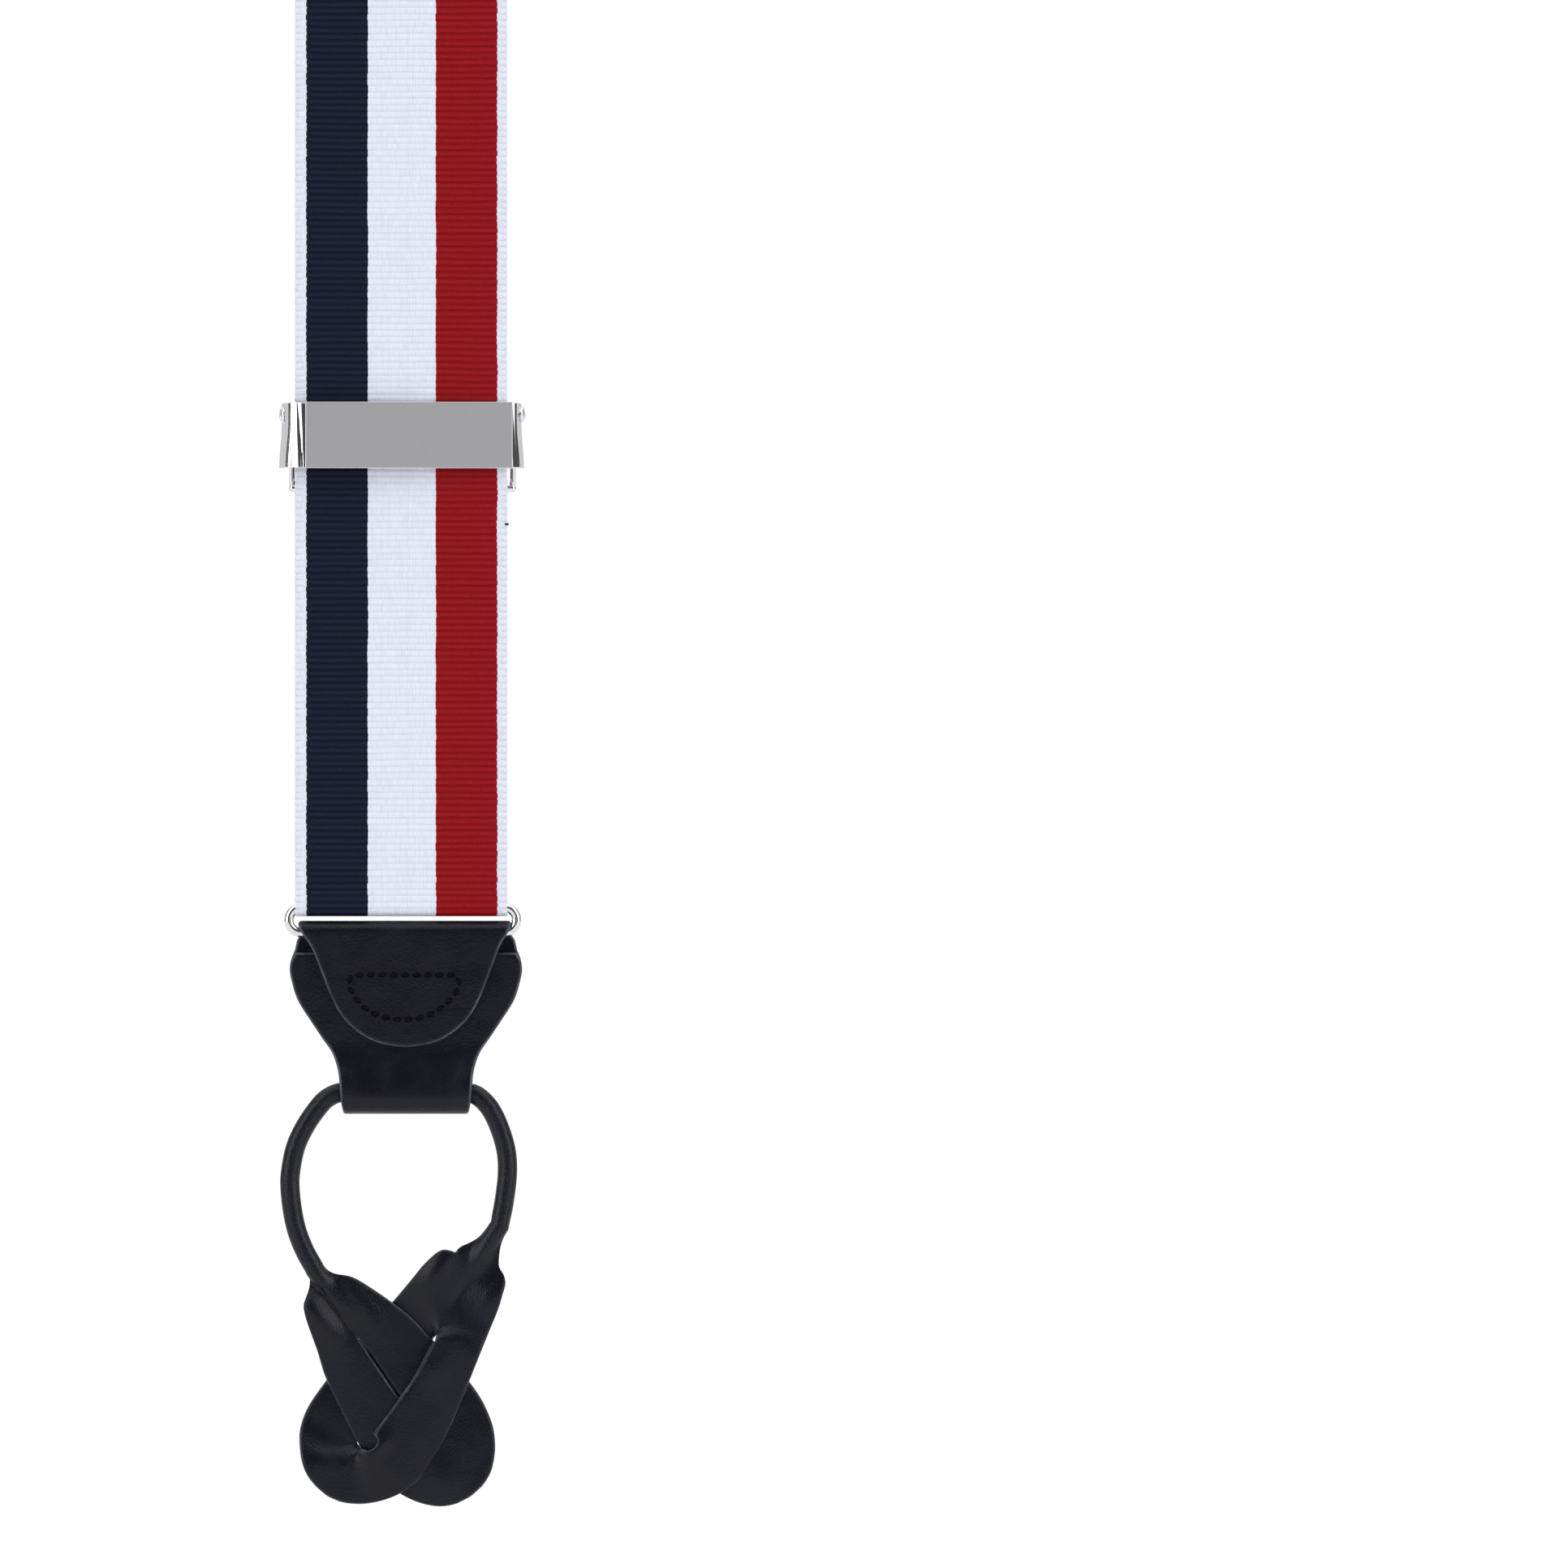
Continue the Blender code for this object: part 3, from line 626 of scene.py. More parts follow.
def loops():
    path = loop_path()
    total = lengths(path)[-1]
    for tag, side in SIDES:
        spot = Spot(tag)
        made = ribbon("ribbon_loop_" + tag, path_surface(spot, path), total, RIB,
                      RIBBON_THICK, RIB_HEIGHT, RIBBON, 9)
        if side < 0:
            mirror_stripes(made)
        pieces = [made]
        u = np.linspace(-RIBBON_HALF + 0.8, RIBBON_HALF - 0.8, 60)
        for k, height in enumerate(SEAM_ROWS):
            rise = BAIL_DEPTH + LOOP_GRIP * ease((height - TURN_IN) / (LOOP_EYE - TURN_IN))
            pieces.append(stitches(f"loop_seam_{k}_{tag}",
                                   spot(u, rise + RIBBON_THICK / 2, height), (0, 1, 0),
                                   2.4, 1.9, 0.42, NAVY_THREAD))
        tick = spot([18.75, 18.99, 18.95, 18.7], [2.6, 0.9, -0.1, -0.30], 67.9)
        pieces.append(joined("thread_tick_" + tag, [wire(tick, 0.22, 8)], NAVY_THREAD))
        bpy.context.view_layer.update()
        start, end = (Vector(spot(0, 0, height)) * MM for height in (57, 6))
        for part in pieces:
            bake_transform(part)
        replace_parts(made, "strap_loop_" + tag)


def elastic():
    spot = Spot("rear")
    wrap = WIRE + 0.45
    top = ELASTIC_TOP - spot.z
    path = np.concatenate([
        [(0, top), (0, 60), (0, 12)],
        s_bend((0, 12), (BAR_DEPTH - wrap, -BAR_RISE)),
        arc((BAR_DEPTH, -BAR_RISE), wrap, 180, 360)[1:],
        s_bend((BAR_DEPTH + wrap, -BAR_RISE), (1.6, 16)), [(1.6, 22), (1.55, 30)]])
    total = lengths(path)[-1]
    made = ribbon("elastic_back", path_surface(spot, path), total, 0.95, 0.6, 0.08, ELASTIC, 21)
    start, end = (Vector(spot(0, 0, height)) * MM for height in (top - 44, 34))
    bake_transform(made)
    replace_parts(made, "rear_elastic", "rear_loop")
    u = np.linspace(-RIBBON_HALF + 1, RIBBON_HALF - 1, 60)
    for k, height in enumerate((25.5, 22.6)):
        row = stitches(f"elastic_seam_{k}", spot(u, -0.36, height), (0, 1, 0), 2.6, 2, 0.45,
                       BLACK_THREAD)
        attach(row, "rear_end")


# ---- adjuster
def flat_metal(at, line, columns, thick):
    """Grids of a bent sheet of metal: places along its outline, heights and half thickness."""
    across, depth = along(line, at[:, None])
    height = np.broadcast_to(columns, (len(at), len(columns)))
    near = np.minimum(np.minimum(at - at[0], at[-1] - at)[:, None],
                      np.minimum(height - columns[0], columns[-1] - height))
    return across, depth, height, rounded(near, thick, 0.1)


def casing(tag, spot):
    """A channel with two flanges, wider at the foot, and a flat cover on its front."""
    half, front, tail, bend = CASING_HALF, -1.75, 6.7, 3.4
    edge = np.array([(half, 2.6), (half + 0.15, 4.5), (half + 0.4, tail)])
    line = np.concatenate([(edge * MIRROR)[::-1],
                           arc((bend - half, front + bend), bend, 180, 270, 24),
                           arc((half - bend, front + bend), bend, 270, 360, 24), edge])
    at = spaced(0, lengths(line)[-1], 220, METAL_STEPS)
    across, depth, height, thick = flat_metal(
        at, line, spaced(CASING_LOW, CASING_HIGH, 12, METAL_STEPS), 0.6)
    foot = span(-height, -86, -78) * span(np.abs(across), 18.5, 20.6)
    dent = sum(deep * np.exp(-((np.abs(across) - at_x + lean * (height - SPLIT)) / 0.3) ** 2)
               for deep, at_x, lean in ((1, 18.3, -0.06), (0.7, 19.5, 0.03)))
    x, q = yawed(across + np.sign(across) * 0.45 * foot, depth + 0.25 * foot + 0.15 * dent)
    channel = slab("adjuster_casing_" + tag, spot(x, q, height), thick, CHROME)
    line = np.array([(-17.45, front - 0.57), (19.45, front - 0.57)])
    at = spaced(0, lengths(line)[-1], 20, METAL_STEPS)
    across, depth, height, thick = flat_metal(
        at, line, spaced(CASING_LOW - 0.15, CASING_HIGH + 0.2, 8, METAL_STEPS), 0.5)
    cover = slab("adjuster_cover_" + tag, spot(*yawed(across, depth), height), thick, CHROME)
    return channel, cover


def rivet_pin(tag, spot):
    """A bar across the casing with a domed head at each end."""
    neck, reach, head, sides = 21, 21.95, 1.5, 28
    dome = np.radians(np.linspace(0, 86, 8))
    profile = [(0, 0.85), (neck - 0.3, 0.85), (neck - 0.05, 0.9), (neck, head * 0.93)]
    profile += [(neck + 0.1 + (reach - neck - 0.1) * math.sin(a), head * math.cos(a))
                for a in dome]
    rows = [(-x, r) for x, r in reversed(profile[1:])] + profile
    turns = 2 * np.pi * np.arange(sides) / sides
    points = [spot(x + YAW_OFF, PIN_DEPTH + r * np.cos(turns), PIN_HEIGHT + r * np.sin(turns))
              for x, r in rows]
    return piece("adjuster_rivet_pin_" + tag, np.concatenate(points),
                 tube_faces(len(rows), sides), CHROME)


def cam_lever(tag, spot):
    """A plate rolled round the pin, with a toothed foot that presses on the ribbon."""
    eye, half = 1.55, 17.8
    grip = PIN_DEPTH - eye
    path = np.concatenate([arc((PIN_DEPTH, PIN_HEIGHT), eye, -60, 180, 40),
                           [(grip, 85.8), (grip, 83.4)],
                           arc((grip + 2, 81.5), 2, 180, 262, 20), [(grip + 2.9, 79.4)]])
    total = lengths(path)[-1]
    rows = spaced(0, total, 70, LEVER_STEPS)
    columns = spaced(-half, half, 54, LEVER_STEPS)
    depth, height = along(path, rows[:, None])
    near = np.minimum(np.minimum(rows, total - rows)[:, None], half - np.abs(columns))
    teeth = 0.12 * np.abs(np.sin(columns * math.pi / 1.6)) * span(-np.abs(height - 81.8),
                                                                  -1.6, -0.6)
    return slab("adjuster_cam_lever_" + tag, spot(columns + YAW_OFF, depth, height),
                rounded(near, 0.66, 0.3) + teeth, CHROME)


def wire_bail(tag, spot):
    """Two legs hooked through the casing, and the bar that the ribbon's loop hangs on."""
    leg, bend = 19.65, 0.7
    hook = np.concatenate([[(20.9, BAIL_HINGE), (20.3, BAIL_HINGE)],
                           arc((leg + bend, BAIL_HINGE - bend), bend, 100, 180, 7),
                           [(leg, 77.5), (leg, BAIL_BAR + 0.6)]])
    parts = [wire(spot(way * hook[:, 0] + YAW_OFF, BAIL_DEPTH, hook[:, 1]), 0.5)
             for way in (1, -1)]
    bar = np.linspace(-leg + 0.1, leg - 0.1, 30)
    parts.append(wire(spot(bar + YAW_OFF, BAIL_DEPTH, BAIL_BAR), 0.72))
    return joined("adjuster_wire_bail_" + tag, parts, CHROME)


def adjusters():
    for tag, _ in SIDES:
        spot = Spot(tag)
        channel, cover = casing(tag, spot)
        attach(cover, "adjuster_" + tag)
        for made, body, node in ((channel, "adjuster_", "adjuster_plate_"),
                                 (rivet_pin(tag, spot), "adjuster_", "adjuster_pin_"),
                                 (cam_lever(tag, spot), "lever_", "adjuster_lever_"),
                                 (wire_bail(tag, spot), "bail_", "adjuster_bail_")):
            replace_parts(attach(made, body + tag), node + tag)


def rings():
    flat = RING_HALF - RING_TURN
    top, foot = -BAR_RISE, -BAR_RISE - RING_DROP
    straight = np.linspace(-flat, flat, 20)
    path = np.concatenate([
        np.stack([straight, np.full(20, top)], 1),
        arc((flat, top - RING_TURN), RING_TURN, 90, 0)[1:],
        arc((flat, foot + RING_TURN), RING_TURN, 0, -90)[1:],
        np.stack([straight[::-1], np.full(20, foot)], 1)[1:],
        arc((-flat, foot + RING_TURN), RING_TURN, -90, -180)[1:],
        arc((-flat, top - RING_TURN), RING_TURN, 180, 90)[1:-1]])
    for tag in ENDS:
        line = Spot(tag)(path[:, 0] + RING_OFF, BAR_DEPTH, path[:, 1])
        made = joined("ring_wire_" + tag, [wire(line, WIRE, 20, True)], CHROME)
        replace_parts(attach(made, "ring_" + tag), "ring_" + tag)


# ---- leather end
# depths of the leather's layers, and the fold at its foot that holds the cord
LAYER_GAP = 0.06
WRAP = WIRE + LEATHER / 2 + LAYER_GAP
TONGUE_DEPTH = BAR_DEPTH - WRAP
PANEL_DEPTH = TONGUE_DEPTH + LEATHER + LAYER_GAP
BACK_DEPTH = PANEL_DEPTH + LEATHER + LAYER_GAP
FOLD, FOLD_R = (2.3, -34.1), 2.45

# height and half width of the tongue in front, and of the panel that hangs behind it
TONGUE = [
    (-1, 18.3), (-2.4, 18.8), (-3.6, 18.9), (-5, 18.3), (-7.5, 16.75), (-12.5, 14.8),
    (-16.1, 13.4), (-19.6, 11.5), (-22, 9.2), (-23.8, 6.5), (-24.8, 3.6), (-25.25, 0.4)]
PANEL = [
    (-1, 18.3), (-2.9, 18.7), (-5.2, 18.8), (-6.1, 19.4), (-7.9, 19.8), (-9.4, 20.4),
    (-11.4, 20.7), (-13.7, 20.3), (-17, 19.2), (-20.8, 16.8), (-23.8, 14.8), (-25.8, 13.4),
    (-27.6, 12.6), (-29.9, 12), (-33.2, 11.7), (-35.2, 11.5), (-37.5, 11)]
# the closed seam: a straight row with a round belly below it
STITCH_D = [
    (-8.4, -12.4), (-5.4, -12.35), (1, -12.4), (8, -12.4), (10, -12.7), (10.3, -14), (9.7, -15.7),
    (8.4, -17.2), (6.8, -18.5), (5.2, -19.4), (3.4, -20), (1.5, -20.3), (-0.7, -20.3),
    (-2.9, -19.9), (-4.9, -19.2), (-6.9, -17.9), (-8.2, -16.4), (-9, -14.8),
    (-9.1, -13.2)]


def end_path():
    """Depth and height: up the tongue, over the ring, down the back and up inside the fold."""
    ring = (BAR_DEPTH, -BAR_RISE - RING_DROP)
    return np.concatenate([
        [(TONGUE_DEPTH + 0.02, -25.25), (TONGUE_DEPTH, -12)],
        arc(ring, WRAP, 180, 0, 24),
        s_bend((BAR_DEPTH + WRAP, ring[1]), (BACK_DEPTH, -12)), [(BACK_DEPTH, -23)],
        s_bend((BACK_DEPTH, -23), (FOLD[0] + FOLD_R, FOLD[1])),
        arc(FOLD, FOLD_R, 0, -180, 24)[1:],
        s_bend((FOLD[0] - FOLD_R, FOLD[1]), (PANEL_DEPTH, -24.6)),
        [(PANEL_DEPTH, -16), (PANEL_DEPTH, -8.4)]])


def end_hide(tag, spot):
    path = end_path()
    total, crest = lengths(path)[-1], lengths(path[:14])[-1]     # crest: half way round the ring
    at = spaced(0, total, 190)
    depth, height = along(path, at)
    wide = np.where(at < crest, curve_value(TONGUE, height), curve_value(PANEL, height))
    wide = np.where(at > total - 1, wide - 0.25, wide)
    across = spaced(-wide, wide, 40)
    outline = np.concatenate([np.stack([wide, at], 1), np.stack([-wide, at], 1)[::-1],
                              [(wide[0], at[0])]])
    grid = np.stack([across, np.broadcast_to(at[:, None], across.shape)], -1)
    near = edge_distance(grid, [outline])
    sag = span(np.abs(across), 9, 17) * span(-height[:, None], 8, 16)
    uneven = 0.10 * ripple(across, at[:, None], 5, 6) - 0.25 * sag
    q = depth[:, None] + uneven * span(at[:, None], 6, 12) * 0.5
    flare = 0.3 * np.exp(-((height + 32) / 3.6) ** 2) * np.sign(depth - FOLD[0])
    q = q + flare[:, None] * span(np.abs(across), 7.5, 10.5)
    shift = END_SHIFT - 0.1 - 0.25 * np.where(at < crest, span(height, -10, -3), 0)
    mid = spot(shift[:, None] + across, q, height[:, None])
    return slab("leather_end_" + tag + "_hide", mid, rounded(near, LEATHER, 0.5), HIDE,
                {"edge": near, "rub": np.full(near.shape, 0.15)})


def leather_ends():
    line = spline(STITCH_D + STITCH_D[:1], 0.5)
    for tag in ENDS:
        spot = Spot(tag)
        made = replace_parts(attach(end_hide(tag, spot), "leather_" + tag), "leather_end_" + tag)
        for name, depth, way, sewn in (
                ("", TONGUE_DEPTH - LEATHER / 2, -1, (2.07, 0.95, 0.92, BLACK_THREAD, 0.16, 0.15)),
                ("back_", BACK_DEPTH + LEATHER / 2, 1, (2.07, 1.5, 0.7, BLACK_THREAD, 0.12))):
            seam = stitches("leather_stitching_" + name + tag,
                            spot(line[:, 0], depth, line[:, 1]), (0, way * spot.way, 0), *sewn)
            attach(seam, "leather_" + tag)


# ---- ears and cord
LEFT, CORD, RIGHT = 0, 1, 2
CORD_LINE = [
    (-15.2, -65.1), (-17.2, -61.5), (-18.6, -57.9), (-19.4, -54.2), (-19.8, -50.3),
    (-19.7, -47.4), (-18.8, -43), (-16.9, -39), (-14.4, -35.5), (-12.8, -34.1), (-11, -33.35),
    (-9.4, -33.4), (-7.5, -33.6), (1, -33.6), (9.5, -33.6), (11.6, -33.4), (13.4, -33.8),
    (15.7, -36), (17.5, -39.6), (18.7, -43.8), (18.9, -48), (18.3, -53), (17.55, -56.7)]
LEFT_ROOT, LEFT_AIM = np.array([-15.5, -64.7]), np.array([0.566, -0.824])
RIGHT_ROOT, RIGHT_AIM = np.array([13.2, -63.7]), np.array([-0.545, -0.838])
LEFT_LONG, RIGHT_LONG = 49.25, 49.2
# distance from an ear's root, then how far it reaches to that side of its middle line
LEFT_TIP = [
    (17, 9.3), (22.6, 10.2), (28.4, 11), (33, 11.4), (36.8, 11.3), (41, 10.4), (44, 8.9),
    (46, 7.35), (47.6, 5.6), (48.6, 3.7), (49.1, 2), (49.25, 0.4)]
LEFT_OUTER = [
    (-1, 1.75), (0.7, 1.75), (1.15, 1.85), (1.4, 3.3), (1.8, 3.9), (2.7, 4.5), (6, 6), (10, 7.2),
    (12.7, 7.95)] + LEFT_TIP
LEFT_INNER = [
    (-1, 1.75), (0.9, 1.9), (1.5, 2.5), (2.75, 3.2), (5.9, 5.25), (10, 7), (12.7, 8)] + LEFT_TIP
RIGHT_OUTER = [
    (-8.3, 1.8), (-7.2, 2.6), (-5, 3.5), (-2.7, 4.1), (-1.8, 4.4), (-1.4, 5), (-1, 5.8),
    (0.24, 6.6), (2.55, 7.3), (5.1, 8), (10.75, 9.1), (17.8, 10.5), (21.3, 11.2), (27.7, 12.3),
    (32.2, 12.8), (37, 12.7), (41, 11.5), (44, 9.6), (46.4, 7.3), (48, 4.9), (48.9, 2.8),
    (49.2, 0.9)]
RIGHT_INNER = [
    (-8.3, 1.8), (-6.2, 2.1), (-4.6, 2.35), (-3.2, 3), (-1.3, 3.9), (-0.2, 4.05), (0.3, 4),
    (0.5, 4.9), (0.9, 5.8), (1.35, 6.3), (2.5, 6.85), (5.65, 7.6), (8.2, 7.9), (12, 8.35),
    (13.8, 8.6), (20, 9.5), (26, 10.3), (32.6, 10.9), (38, 11), (42, 10), (44.9, 8.1), (47, 6.1),
    (48.3, 4), (49, 1.7), (49.2, -0.1)]
# the slits run this far along the ears; the right ear's one wanders off the middle line
SLIT = (14.6, 38.8)
SLIT_LINE = [
    (0, 0), (8, 0.6), (14.6, 1.2), (22.5, 1.9), (26.4, 1.85), (33.5, 1.5), (37, 1.1), (38.4, 1),
    (44, 0.6), (49, 0.4)]
# soft folds: height, place and size across, place and size along
LEFT_FOLDS = [
    (-1.35, 4.4, 2.3, 7, 6), (0.5, 1, 1.2, 8, 6.5), (-0.6, -3.6, 2.4, 11, 6),
    (-0.4, 2.5, 3, 44, 4)]
RIGHT_FOLDS = [
    (-0.9, 6.3, 2.2, 3.2, 4.2), (0.5, 0.8, 1.6, 5, 5), (-0.9, -5.2, 2, 5, 4.2),
    (-0.5, 4.5, 2.2, 19.5, 3.6), (-0.5, -5, 3.4, 45.5, 4)]
CORD_R, EAR_SHEET, EAR_STEP, EAR_DEPTH = 1.74, 1.15, 1.35, 2.325


def by_part(which, left, right, cord=0.0):
    """Each row's value, from the left ear, the right ear or the cord between them."""
    return np.where(which == LEFT, left, np.where(which == RIGHT, right, cord))


def ear_rows(longest, start):
    """Distances from the root, closer together where the outline turns quickly."""
    body = np.concatenate([np.arange(start, -1.6, 0.6), np.arange(-1.6, 3, 0.15),
                           np.arange(3, longest - 6, 0.62)])
    body = body[body >= start]
    lobe = longest - 6 * np.cos(np.linspace(0.1, math.pi / 2, 18)) ** 1.2
    ends = [SLIT[0] + 0.05, SLIT[0] + 0.2, SLIT[1] - 0.2, SLIT[1] - 0.05]
    return np.unique(np.round(np.concatenate([body, lobe, ends]), 3))


def ear_line():
    """Rows up the left ear, along the cord and down the right ear."""
    left, right = ear_rows(LEFT_LONG, 0.2), ear_rows(RIGHT_LONG, -8)
    cord = spline(CORD_LINE, 0.55)[2:-2]
    way = np.gradient(cord, axis=0)
    way /= np.linalg.norm(way, axis=1)[:, None]
    count = (len(left), len(cord), len(right))
    far = np.concatenate([left[::-1], np.full(count[1], -9.0), right])
    which = np.repeat([LEFT, CORD, RIGHT], count)
    middle = np.concatenate([LEFT_ROOT + left[::-1, None] * LEFT_AIM, cord,
                             RIGHT_ROOT + right[:, None] * RIGHT_AIM])
    heading = np.concatenate([np.tile(-LEFT_AIM, (count[0], 1)), way,
                              np.tile(RIGHT_AIM, (count[2], 1))])
    for _ in range(3):                       # let the cord turn gently into each ear
        for k in np.flatnonzero(np.abs(np.diff(which)) > 0):
            for j in range(k - 4, k + 6):
                heading[j] = (heading[j - 1] + heading[j] + heading[j + 1]) / 3
        heading /= np.linalg.norm(heading, axis=1)[:, None]
    return which, far, middle, np.stack([-heading[:, 1], heading[:, 0]], 1)


def ear_slits(which, far):
    """Middle line and half width of the slits; the right one ends in a round hole."""
    share = np.clip((far - SLIT[0]) / (SLIT[1] - SLIT[0]), 0, 1)
    gap = 0.05 + 0.09 * np.sin(np.pi * share) ** 0.5
    left = 0.01 + (gap - 0.01) * span(far, 15.5, 19)
    left = left + 0.5 * np.exp(-((far - 38.3) / 0.6) ** 2)
    keyhole = np.sqrt(np.maximum(0, 1.75 ** 2 - (far - 37.05) ** 2))
    lead = 0.16 * np.exp(-((far - 15.3) / 0.9) ** 2)
    return (by_part(which, 0.5, curve_value(SLIT_LINE, np.clip(far, 0, 49))),
            by_part(which, left, np.maximum(gap + lead, keyhole), gap))


def ear_edges(which, far, u, minus, plus, slit_at, gap):
    """Distance to the nearest cut edge, and to the nearest edge that shows pale."""
    near, pale = np.full(u.shape, 9.0), np.full(u.shape, 9.0)
    for ear, first in ((LEFT, 1), (RIGHT, 0)):
        here = which == ear
        at = far[here]
        rim = [np.stack([plus[here], at], 1), np.stack([-minus[here], at], 1)[::-1]]
        rim = np.concatenate(rim[::-1] if ear == LEFT else rim)
        cut = (at >= SLIT[0]) & (at <= SLIT[1])
        line, wide = slit_at[here][cut], gap[here][cut]
        lips = [np.stack([line - wide, at[cut]], 1), np.stack([line + wide, at[cut]], 1)]
        grid = np.stack([u[here], np.broadcast_to(at[:, None], u[here].shape)], -1)
        near[here] = edge_distance(grid, [rim] + lips)
        pale[here] = edge_distance(grid, [rim] + lips[first:])
    return near, pale


def ear_depths(which, far, u, slit_at, flat):
    """How far the hide's middle lies behind EAR_DEPTH."""
    part, d = which[:, None], far[:, None]
    # the right ear parts at its slit: outer half in front, inner half behind the left ear
    clear = np.maximum(0, np.maximum(SLIT[0] - d, d - SLIT[1]))
    beside = u - slit_at[:, None]
    spread = np.clip(np.abs(beside) / (1.6 * clear + 0.25), 0, 1)
    fade = span(d, 2, 13.5) * span(-d, -48.5, -42)
    parted = -np.sign(beside) * EAR_STEP * ease(spread) * fade * (1 - ease(clear / 9))
    curl = -0.6 * np.exp(-((beside - 2.2) / 1.3) ** 2 - ((d - 37) / 2.8) ** 2)
    depth = by_part(part, 0, parted + curl)
    cup = 0.5 * (np.abs(u) / 11) ** 2 * span(d, 4, 20)
    depth = depth + cup * 1.6 + 0.16 * ripple(u, d, 11, 7) * span(d, 4, 12)
    pleat = 0.22 * ripple(u * 1.6, d * 0.5, 31, 2) * span(-d, -13, -3)
    for ear, folds in ((LEFT, LEFT_FOLDS), (RIGHT, RIGHT_FOLDS)):
        for rise, at_u, wide, at_d, long in folds:
            fold = rise * np.exp(-((u - at_u) / wide) ** 2 - ((d - at_d) / long) ** 2)
            pleat = pleat + np.where(part == ear, fold, 0)
    return depth + pleat * flat


def ear_pair(tag):
    """Both ears and the cord that joins them, one hide rolled round in the middle."""
    which, far, middle, side = ear_line()
    # the cord is squeezed inside the leather end's fold
    squeezed = CORD_R - 0.34 * span(-np.abs(middle[:, 0] - 0.9), -11.9, -9.6)
    plus = by_part(which, curve_value(LEFT_OUTER, far), curve_value(RIGHT_OUTER, far), squeezed)
    minus = by_part(which, curve_value(LEFT_INNER, far), curve_value(RIGHT_INNER, far), squeezed)
    flat = by_part(which, span(far, 0.4, 5), span(far, -7.5, 0.5))[:, None]
    ridge = by_part(which, span(-far, -14, -3), span(-far, -7, 5))[:, None]
    slit_at, gap = ear_slits(which, far)
    a = spaced(-minus, slit_at - gap, 9)
    b = spaced(slit_at + gap, plus, 9)
    columns = a.shape[1] + b.shape[1]
    turn = -np.cos(np.pi * np.arange(columns) / (columns - 1))
    squeezed = np.where(which == CORD, squeezed, CORD_R)[:, None]
    u = flat * np.concatenate([a, b], axis=1) + (1 - flat) * (turn * squeezed)
    inside = (far >= SLIT[0]) & (far <= SLIT[1])
    hole = np.zeros((len(far) - 1, columns - 1), bool)
    hole[:, a.shape[1] - 1] = inside[:-1] & inside[1:]

    near, pale = ear_edges(which, far, u, minus, plus, slit_at, gap)
    sheet = rounded(near, EAR_SHEET, 0.5)
    round_h = np.sqrt(np.maximum(0, squeezed ** 2 - np.minimum(np.abs(u), squeezed) ** 2))
    swell = (CORD_R - EAR_SHEET / 2) * np.exp(-(u / 1.5) ** 2) * ridge
    half = flat * (sheet + swell * (near > 0.5)) + (1 - flat) * round_h

    spot = Spot(tag)
    xz = middle[:, None, :] + side[:, None, :] * u[..., None]
    mid = spot(xz[..., 0], EAR_DEPTH + ear_depths(which, far, u, slit_at, flat), xz[..., 1])
    edge = pale * 1.5 + 6 * (1 - flat)
    rub = np.maximum(1 - flat, ridge) * np.exp(-(u / 2.4) ** 2) + 0.2
    made = slab("ears_" + tag + "_hide", mid[::-1], half[::-1], HIDE,
                {"edge": edge[::-1], "rub": rub[::-1]}, hole[::-1])
    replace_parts(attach(made, "ears_" + tag), "ear_strap_" + tag)


# ---- yoke
# half of the outline, from the notch between the straps round to the foot
YOKE = [
    (0, -124), (6, -118.5), (14, -116), (28, -119.5), (42, -124), (46.5, -128), (47, -134),
    (43, -143), (35, -154), (28, -165), (24.5, -176), (23.5, -184), (20.5, -188.5), (12, -189.5),
    (0, -190)]
OUTER_DEPTH, INNER_DEPTH, SEAM_INSET = 31.55, 29.05, 2.6
BACK_X = 47.5                    # of a strap's middle line, level with the rest's centre


def yoke_lift(x, z, near):
    """The outer leather rises over the bands inside it and sinks along its seam."""
    low, high = -RIBBON_HALF - 1.2, -RIBBON_HALF + 0.3
    strap_x = BACK_X + (z + REST) * math.tan(YOKE_SLANT)
    over = span(-np.abs(np.abs(x) - strap_x) * 0.966, low, high) * span(z, -143, -139)
    over = np.maximum(over, span(-np.abs(x), low, high) * span(-z, 144, 147))
    dent = np.clip(1 - np.abs(near - SEAM_INSET) / 1.1, 0, 1) ** 2
    return 0.28 * over - 0.12 * dent - 0.2 + 0.05 * ripple(x, z, 17, 6)


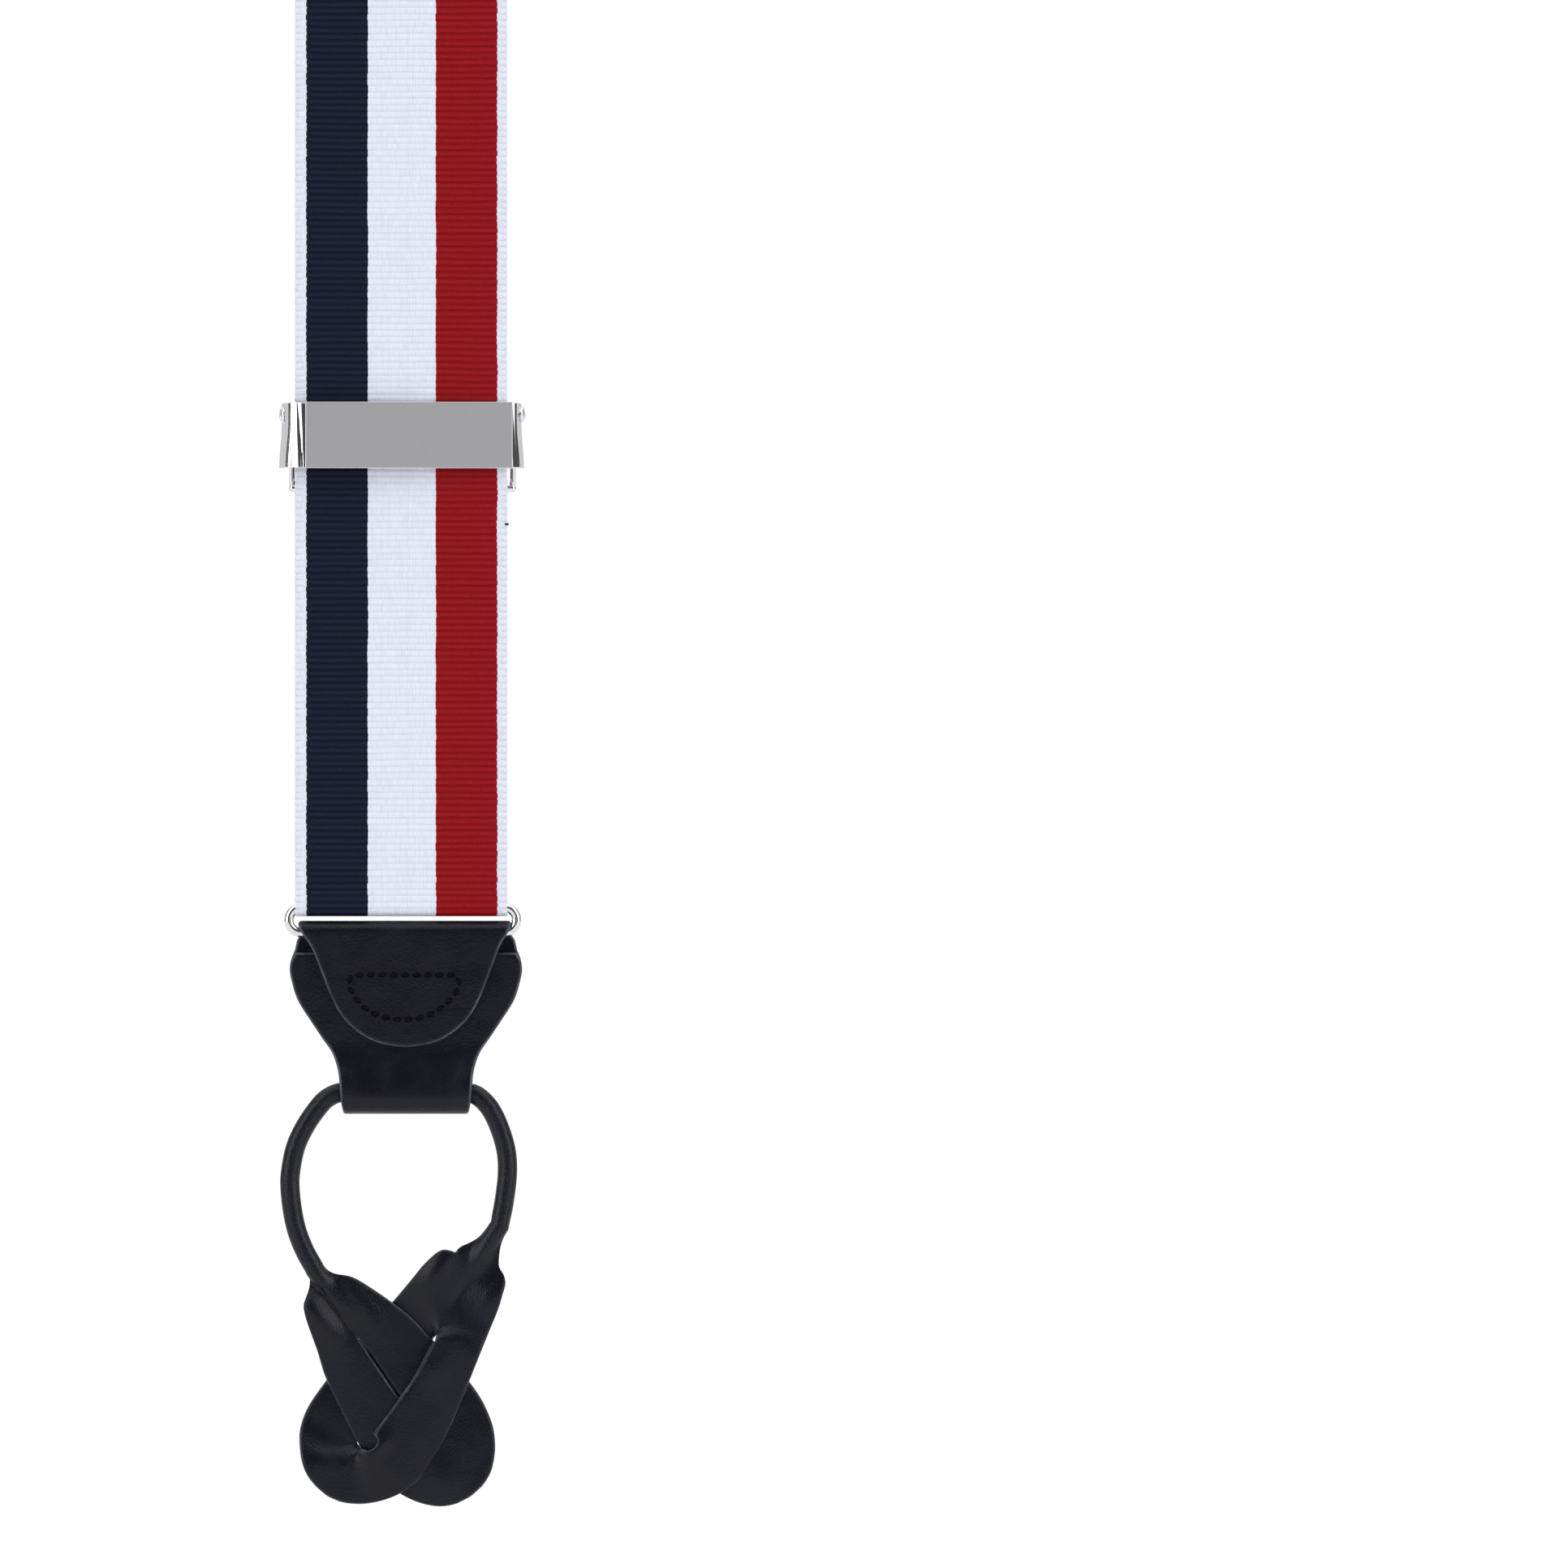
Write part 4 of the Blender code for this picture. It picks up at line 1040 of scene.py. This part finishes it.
def yoke():
    half = spline(YOKE, 1.1)
    tip = int(np.argmax(half[:, 0]))
    upper, lower = half[:tip + 1], half[tip:][::-1]
    xs = np.unique(np.round(np.concatenate([upper[:, 0], lower[:, 0]]), 2))
    xs = np.concatenate([-xs[:0:-1], xs])
    top, low = (np.interp(np.abs(xs), line[:, 0], line[:, 1]) for line in (upper, lower))
    z = spaced(low - 0.001, top + 0.001, 44).T
    x = np.broadcast_to(xs, z.shape)
    outline = np.concatenate([half, (half * MIRROR)[::-1]])
    near = edge_distance(np.stack([x, z], -1), [outline])
    lift = yoke_lift(x, z, near)
    for name, y in (("yoke_outer", OUTER_DEPTH + lift),
                    ("yoke_inner", INNER_DEPTH + (np.abs(lift) * 0.3 + 0.05))):
        made = slab(name + "_hide", np.stack([x, y, z], -1)[::-1],
                    rounded(near, LEATHER, 0.5)[::-1], HIDE,
                    {"edge": near[::-1], "rub": np.full(near.shape, 0.15)})
        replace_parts(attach(made, "root"), name)
    way = np.gradient(half, axis=0)
    way /= np.linalg.norm(way, axis=1)[:, None]
    inset = half + np.stack([way[:, 1], -way[:, 0]], 1) * SEAM_INSET
    inset = inset[(inset[:, 0] >= 0) & (edge_distance(inset, [outline]) > SEAM_INSET - 0.1)]
    seam_line = np.concatenate([inset, (inset * MIRROR)[::-1], inset[:1]])
    for name, y, way in (("yoke_stitching_back", OUTER_DEPTH + 0.38, 1),
                         ("yoke_stitching_front", INNER_DEPTH - 0.55, -1)):
        line = np.stack([seam_line[:, 0], np.full(len(seam_line), y), seam_line[:, 1]], 1)
        seam = stitches(name, line, (0, way, 0), 2.7, 2.15, 0.62, BLACK_THREAD, 0.1)
        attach(seam, "root")


# ---- studio
# brightness by compass bearing from the front, in degrees: panels with dark gaps between them
BRIGHTEST = 2.5
BEARINGS = ((0, 0.075), (34, 0.075), (39, BRIGHTEST), (76, BRIGHTEST), (82, 0.08), (106, 0.08),
            (114, 0.75), (180, 0.6))
FACE_PANEL, SKY, GROUND, BACKDROP = 0.45, 1.5, 0.8, 1.02
FLOOR_HEIGHT, FLOOR_WIDTH = -0.80, 5.2
SENSOR, DISTANCE, VIEW_WIDTH = 36, 4, 0.2792
VIEW_X, VIEW_Z = 0.1282, -0.5612


def studio_light():
    """World light for the chrome to mirror; the camera itself sees plain white."""
    world = bpy.data.worlds.new("studio")
    bpy.context.scene.world = world
    world.use_nodes = True
    n = Graph(world.node_tree)

    def blended(share, a, b):
        return n.plus(n.times(share, b), n.times(n.minus(1, share), a))

    x, y, z = n.new("SeparateXYZ", n.new("TexCoord").outputs["Generated"]).outputs
    bearing = n.math("ABSOLUTE", n.math("ARCTAN2", x, n.times(y, -1)))
    ramp = n.new("ValToRGB", n.math("DIVIDE", bearing, math.pi))
    marks = ramp.color_ramp.elements
    for k, (degrees, strength) in enumerate(BEARINGS):
        mark = marks[k] if k < 2 else marks.new(degrees / 180)
        mark.position = degrees / 180
        mark.color = (*[strength / BRIGHTEST] * 3, 1)
    # a small grey panel that the adjuster's flat face mirrors
    panel = n.times(n.ramp(x, -0.03, 0.01), n.ramp(x, 0.14, 0.18, 1, 0))
    panel = n.times(panel, n.ramp(n.math("ABSOLUTE", z), 0.09, 0.15, 1, 0))
    panel = n.times(panel, n.ramp(y, -0.8, -0.7, 1, 0))
    level = blended(panel, n.times(ramp.outputs[0], BRIGHTEST), FACE_PANEL)
    level = blended(n.ramp(z, 0.62, 0.80), level, SKY)
    level = blended(n.ramp(z, -0.75, -0.50, 1, 0), level, GROUND)
    level = blended(n.new("LightPath").outputs["Is Camera Ray"], level, BACKDROP)
    back = world.node_tree.nodes["Background"]
    n.feed(level, back.inputs["Strength"])
    back.inputs["Color"].default_value = (1, 1, 1, 1)


def studio_floor():
    bpy.ops.mesh.primitive_plane_add(size=1.0, location=(0.0, 0.0, FLOOR_HEIGHT))
    floor = bpy.context.object
    floor.name = "studio_floor"
    floor.scale = (FLOOR_WIDTH, FLOOR_WIDTH, 1)
    floor.data.materials.append(floor_finish())


def studio_camera():
    """A long lens, level with the adjusters and aimed straight at them."""
    lens = bpy.data.cameras.new("camera")
    lens.sensor_width = SENSOR
    lens.lens = SENSOR * DISTANCE / VIEW_WIDTH
    lens.clip_end = 30
    camera = bpy.data.objects.new("camera", lens)
    camera.location = (VIEW_X, -DISTANCE - MID * MM, VIEW_Z)
    camera.rotation_euler = (math.pi / 2, 0, 0)
    scene = bpy.context.scene
    scene.collection.objects.link(camera)
    scene.camera = camera
    scene.view_settings.view_transform = "Standard"
    scene.view_settings.look = "None"


straps()
loops()
elastic()
adjusters()
rings()
leather_ends()
for end in ENDS:
    ear_pair(end)
yoke()
studio_light()
studio_floor()
studio_camera()
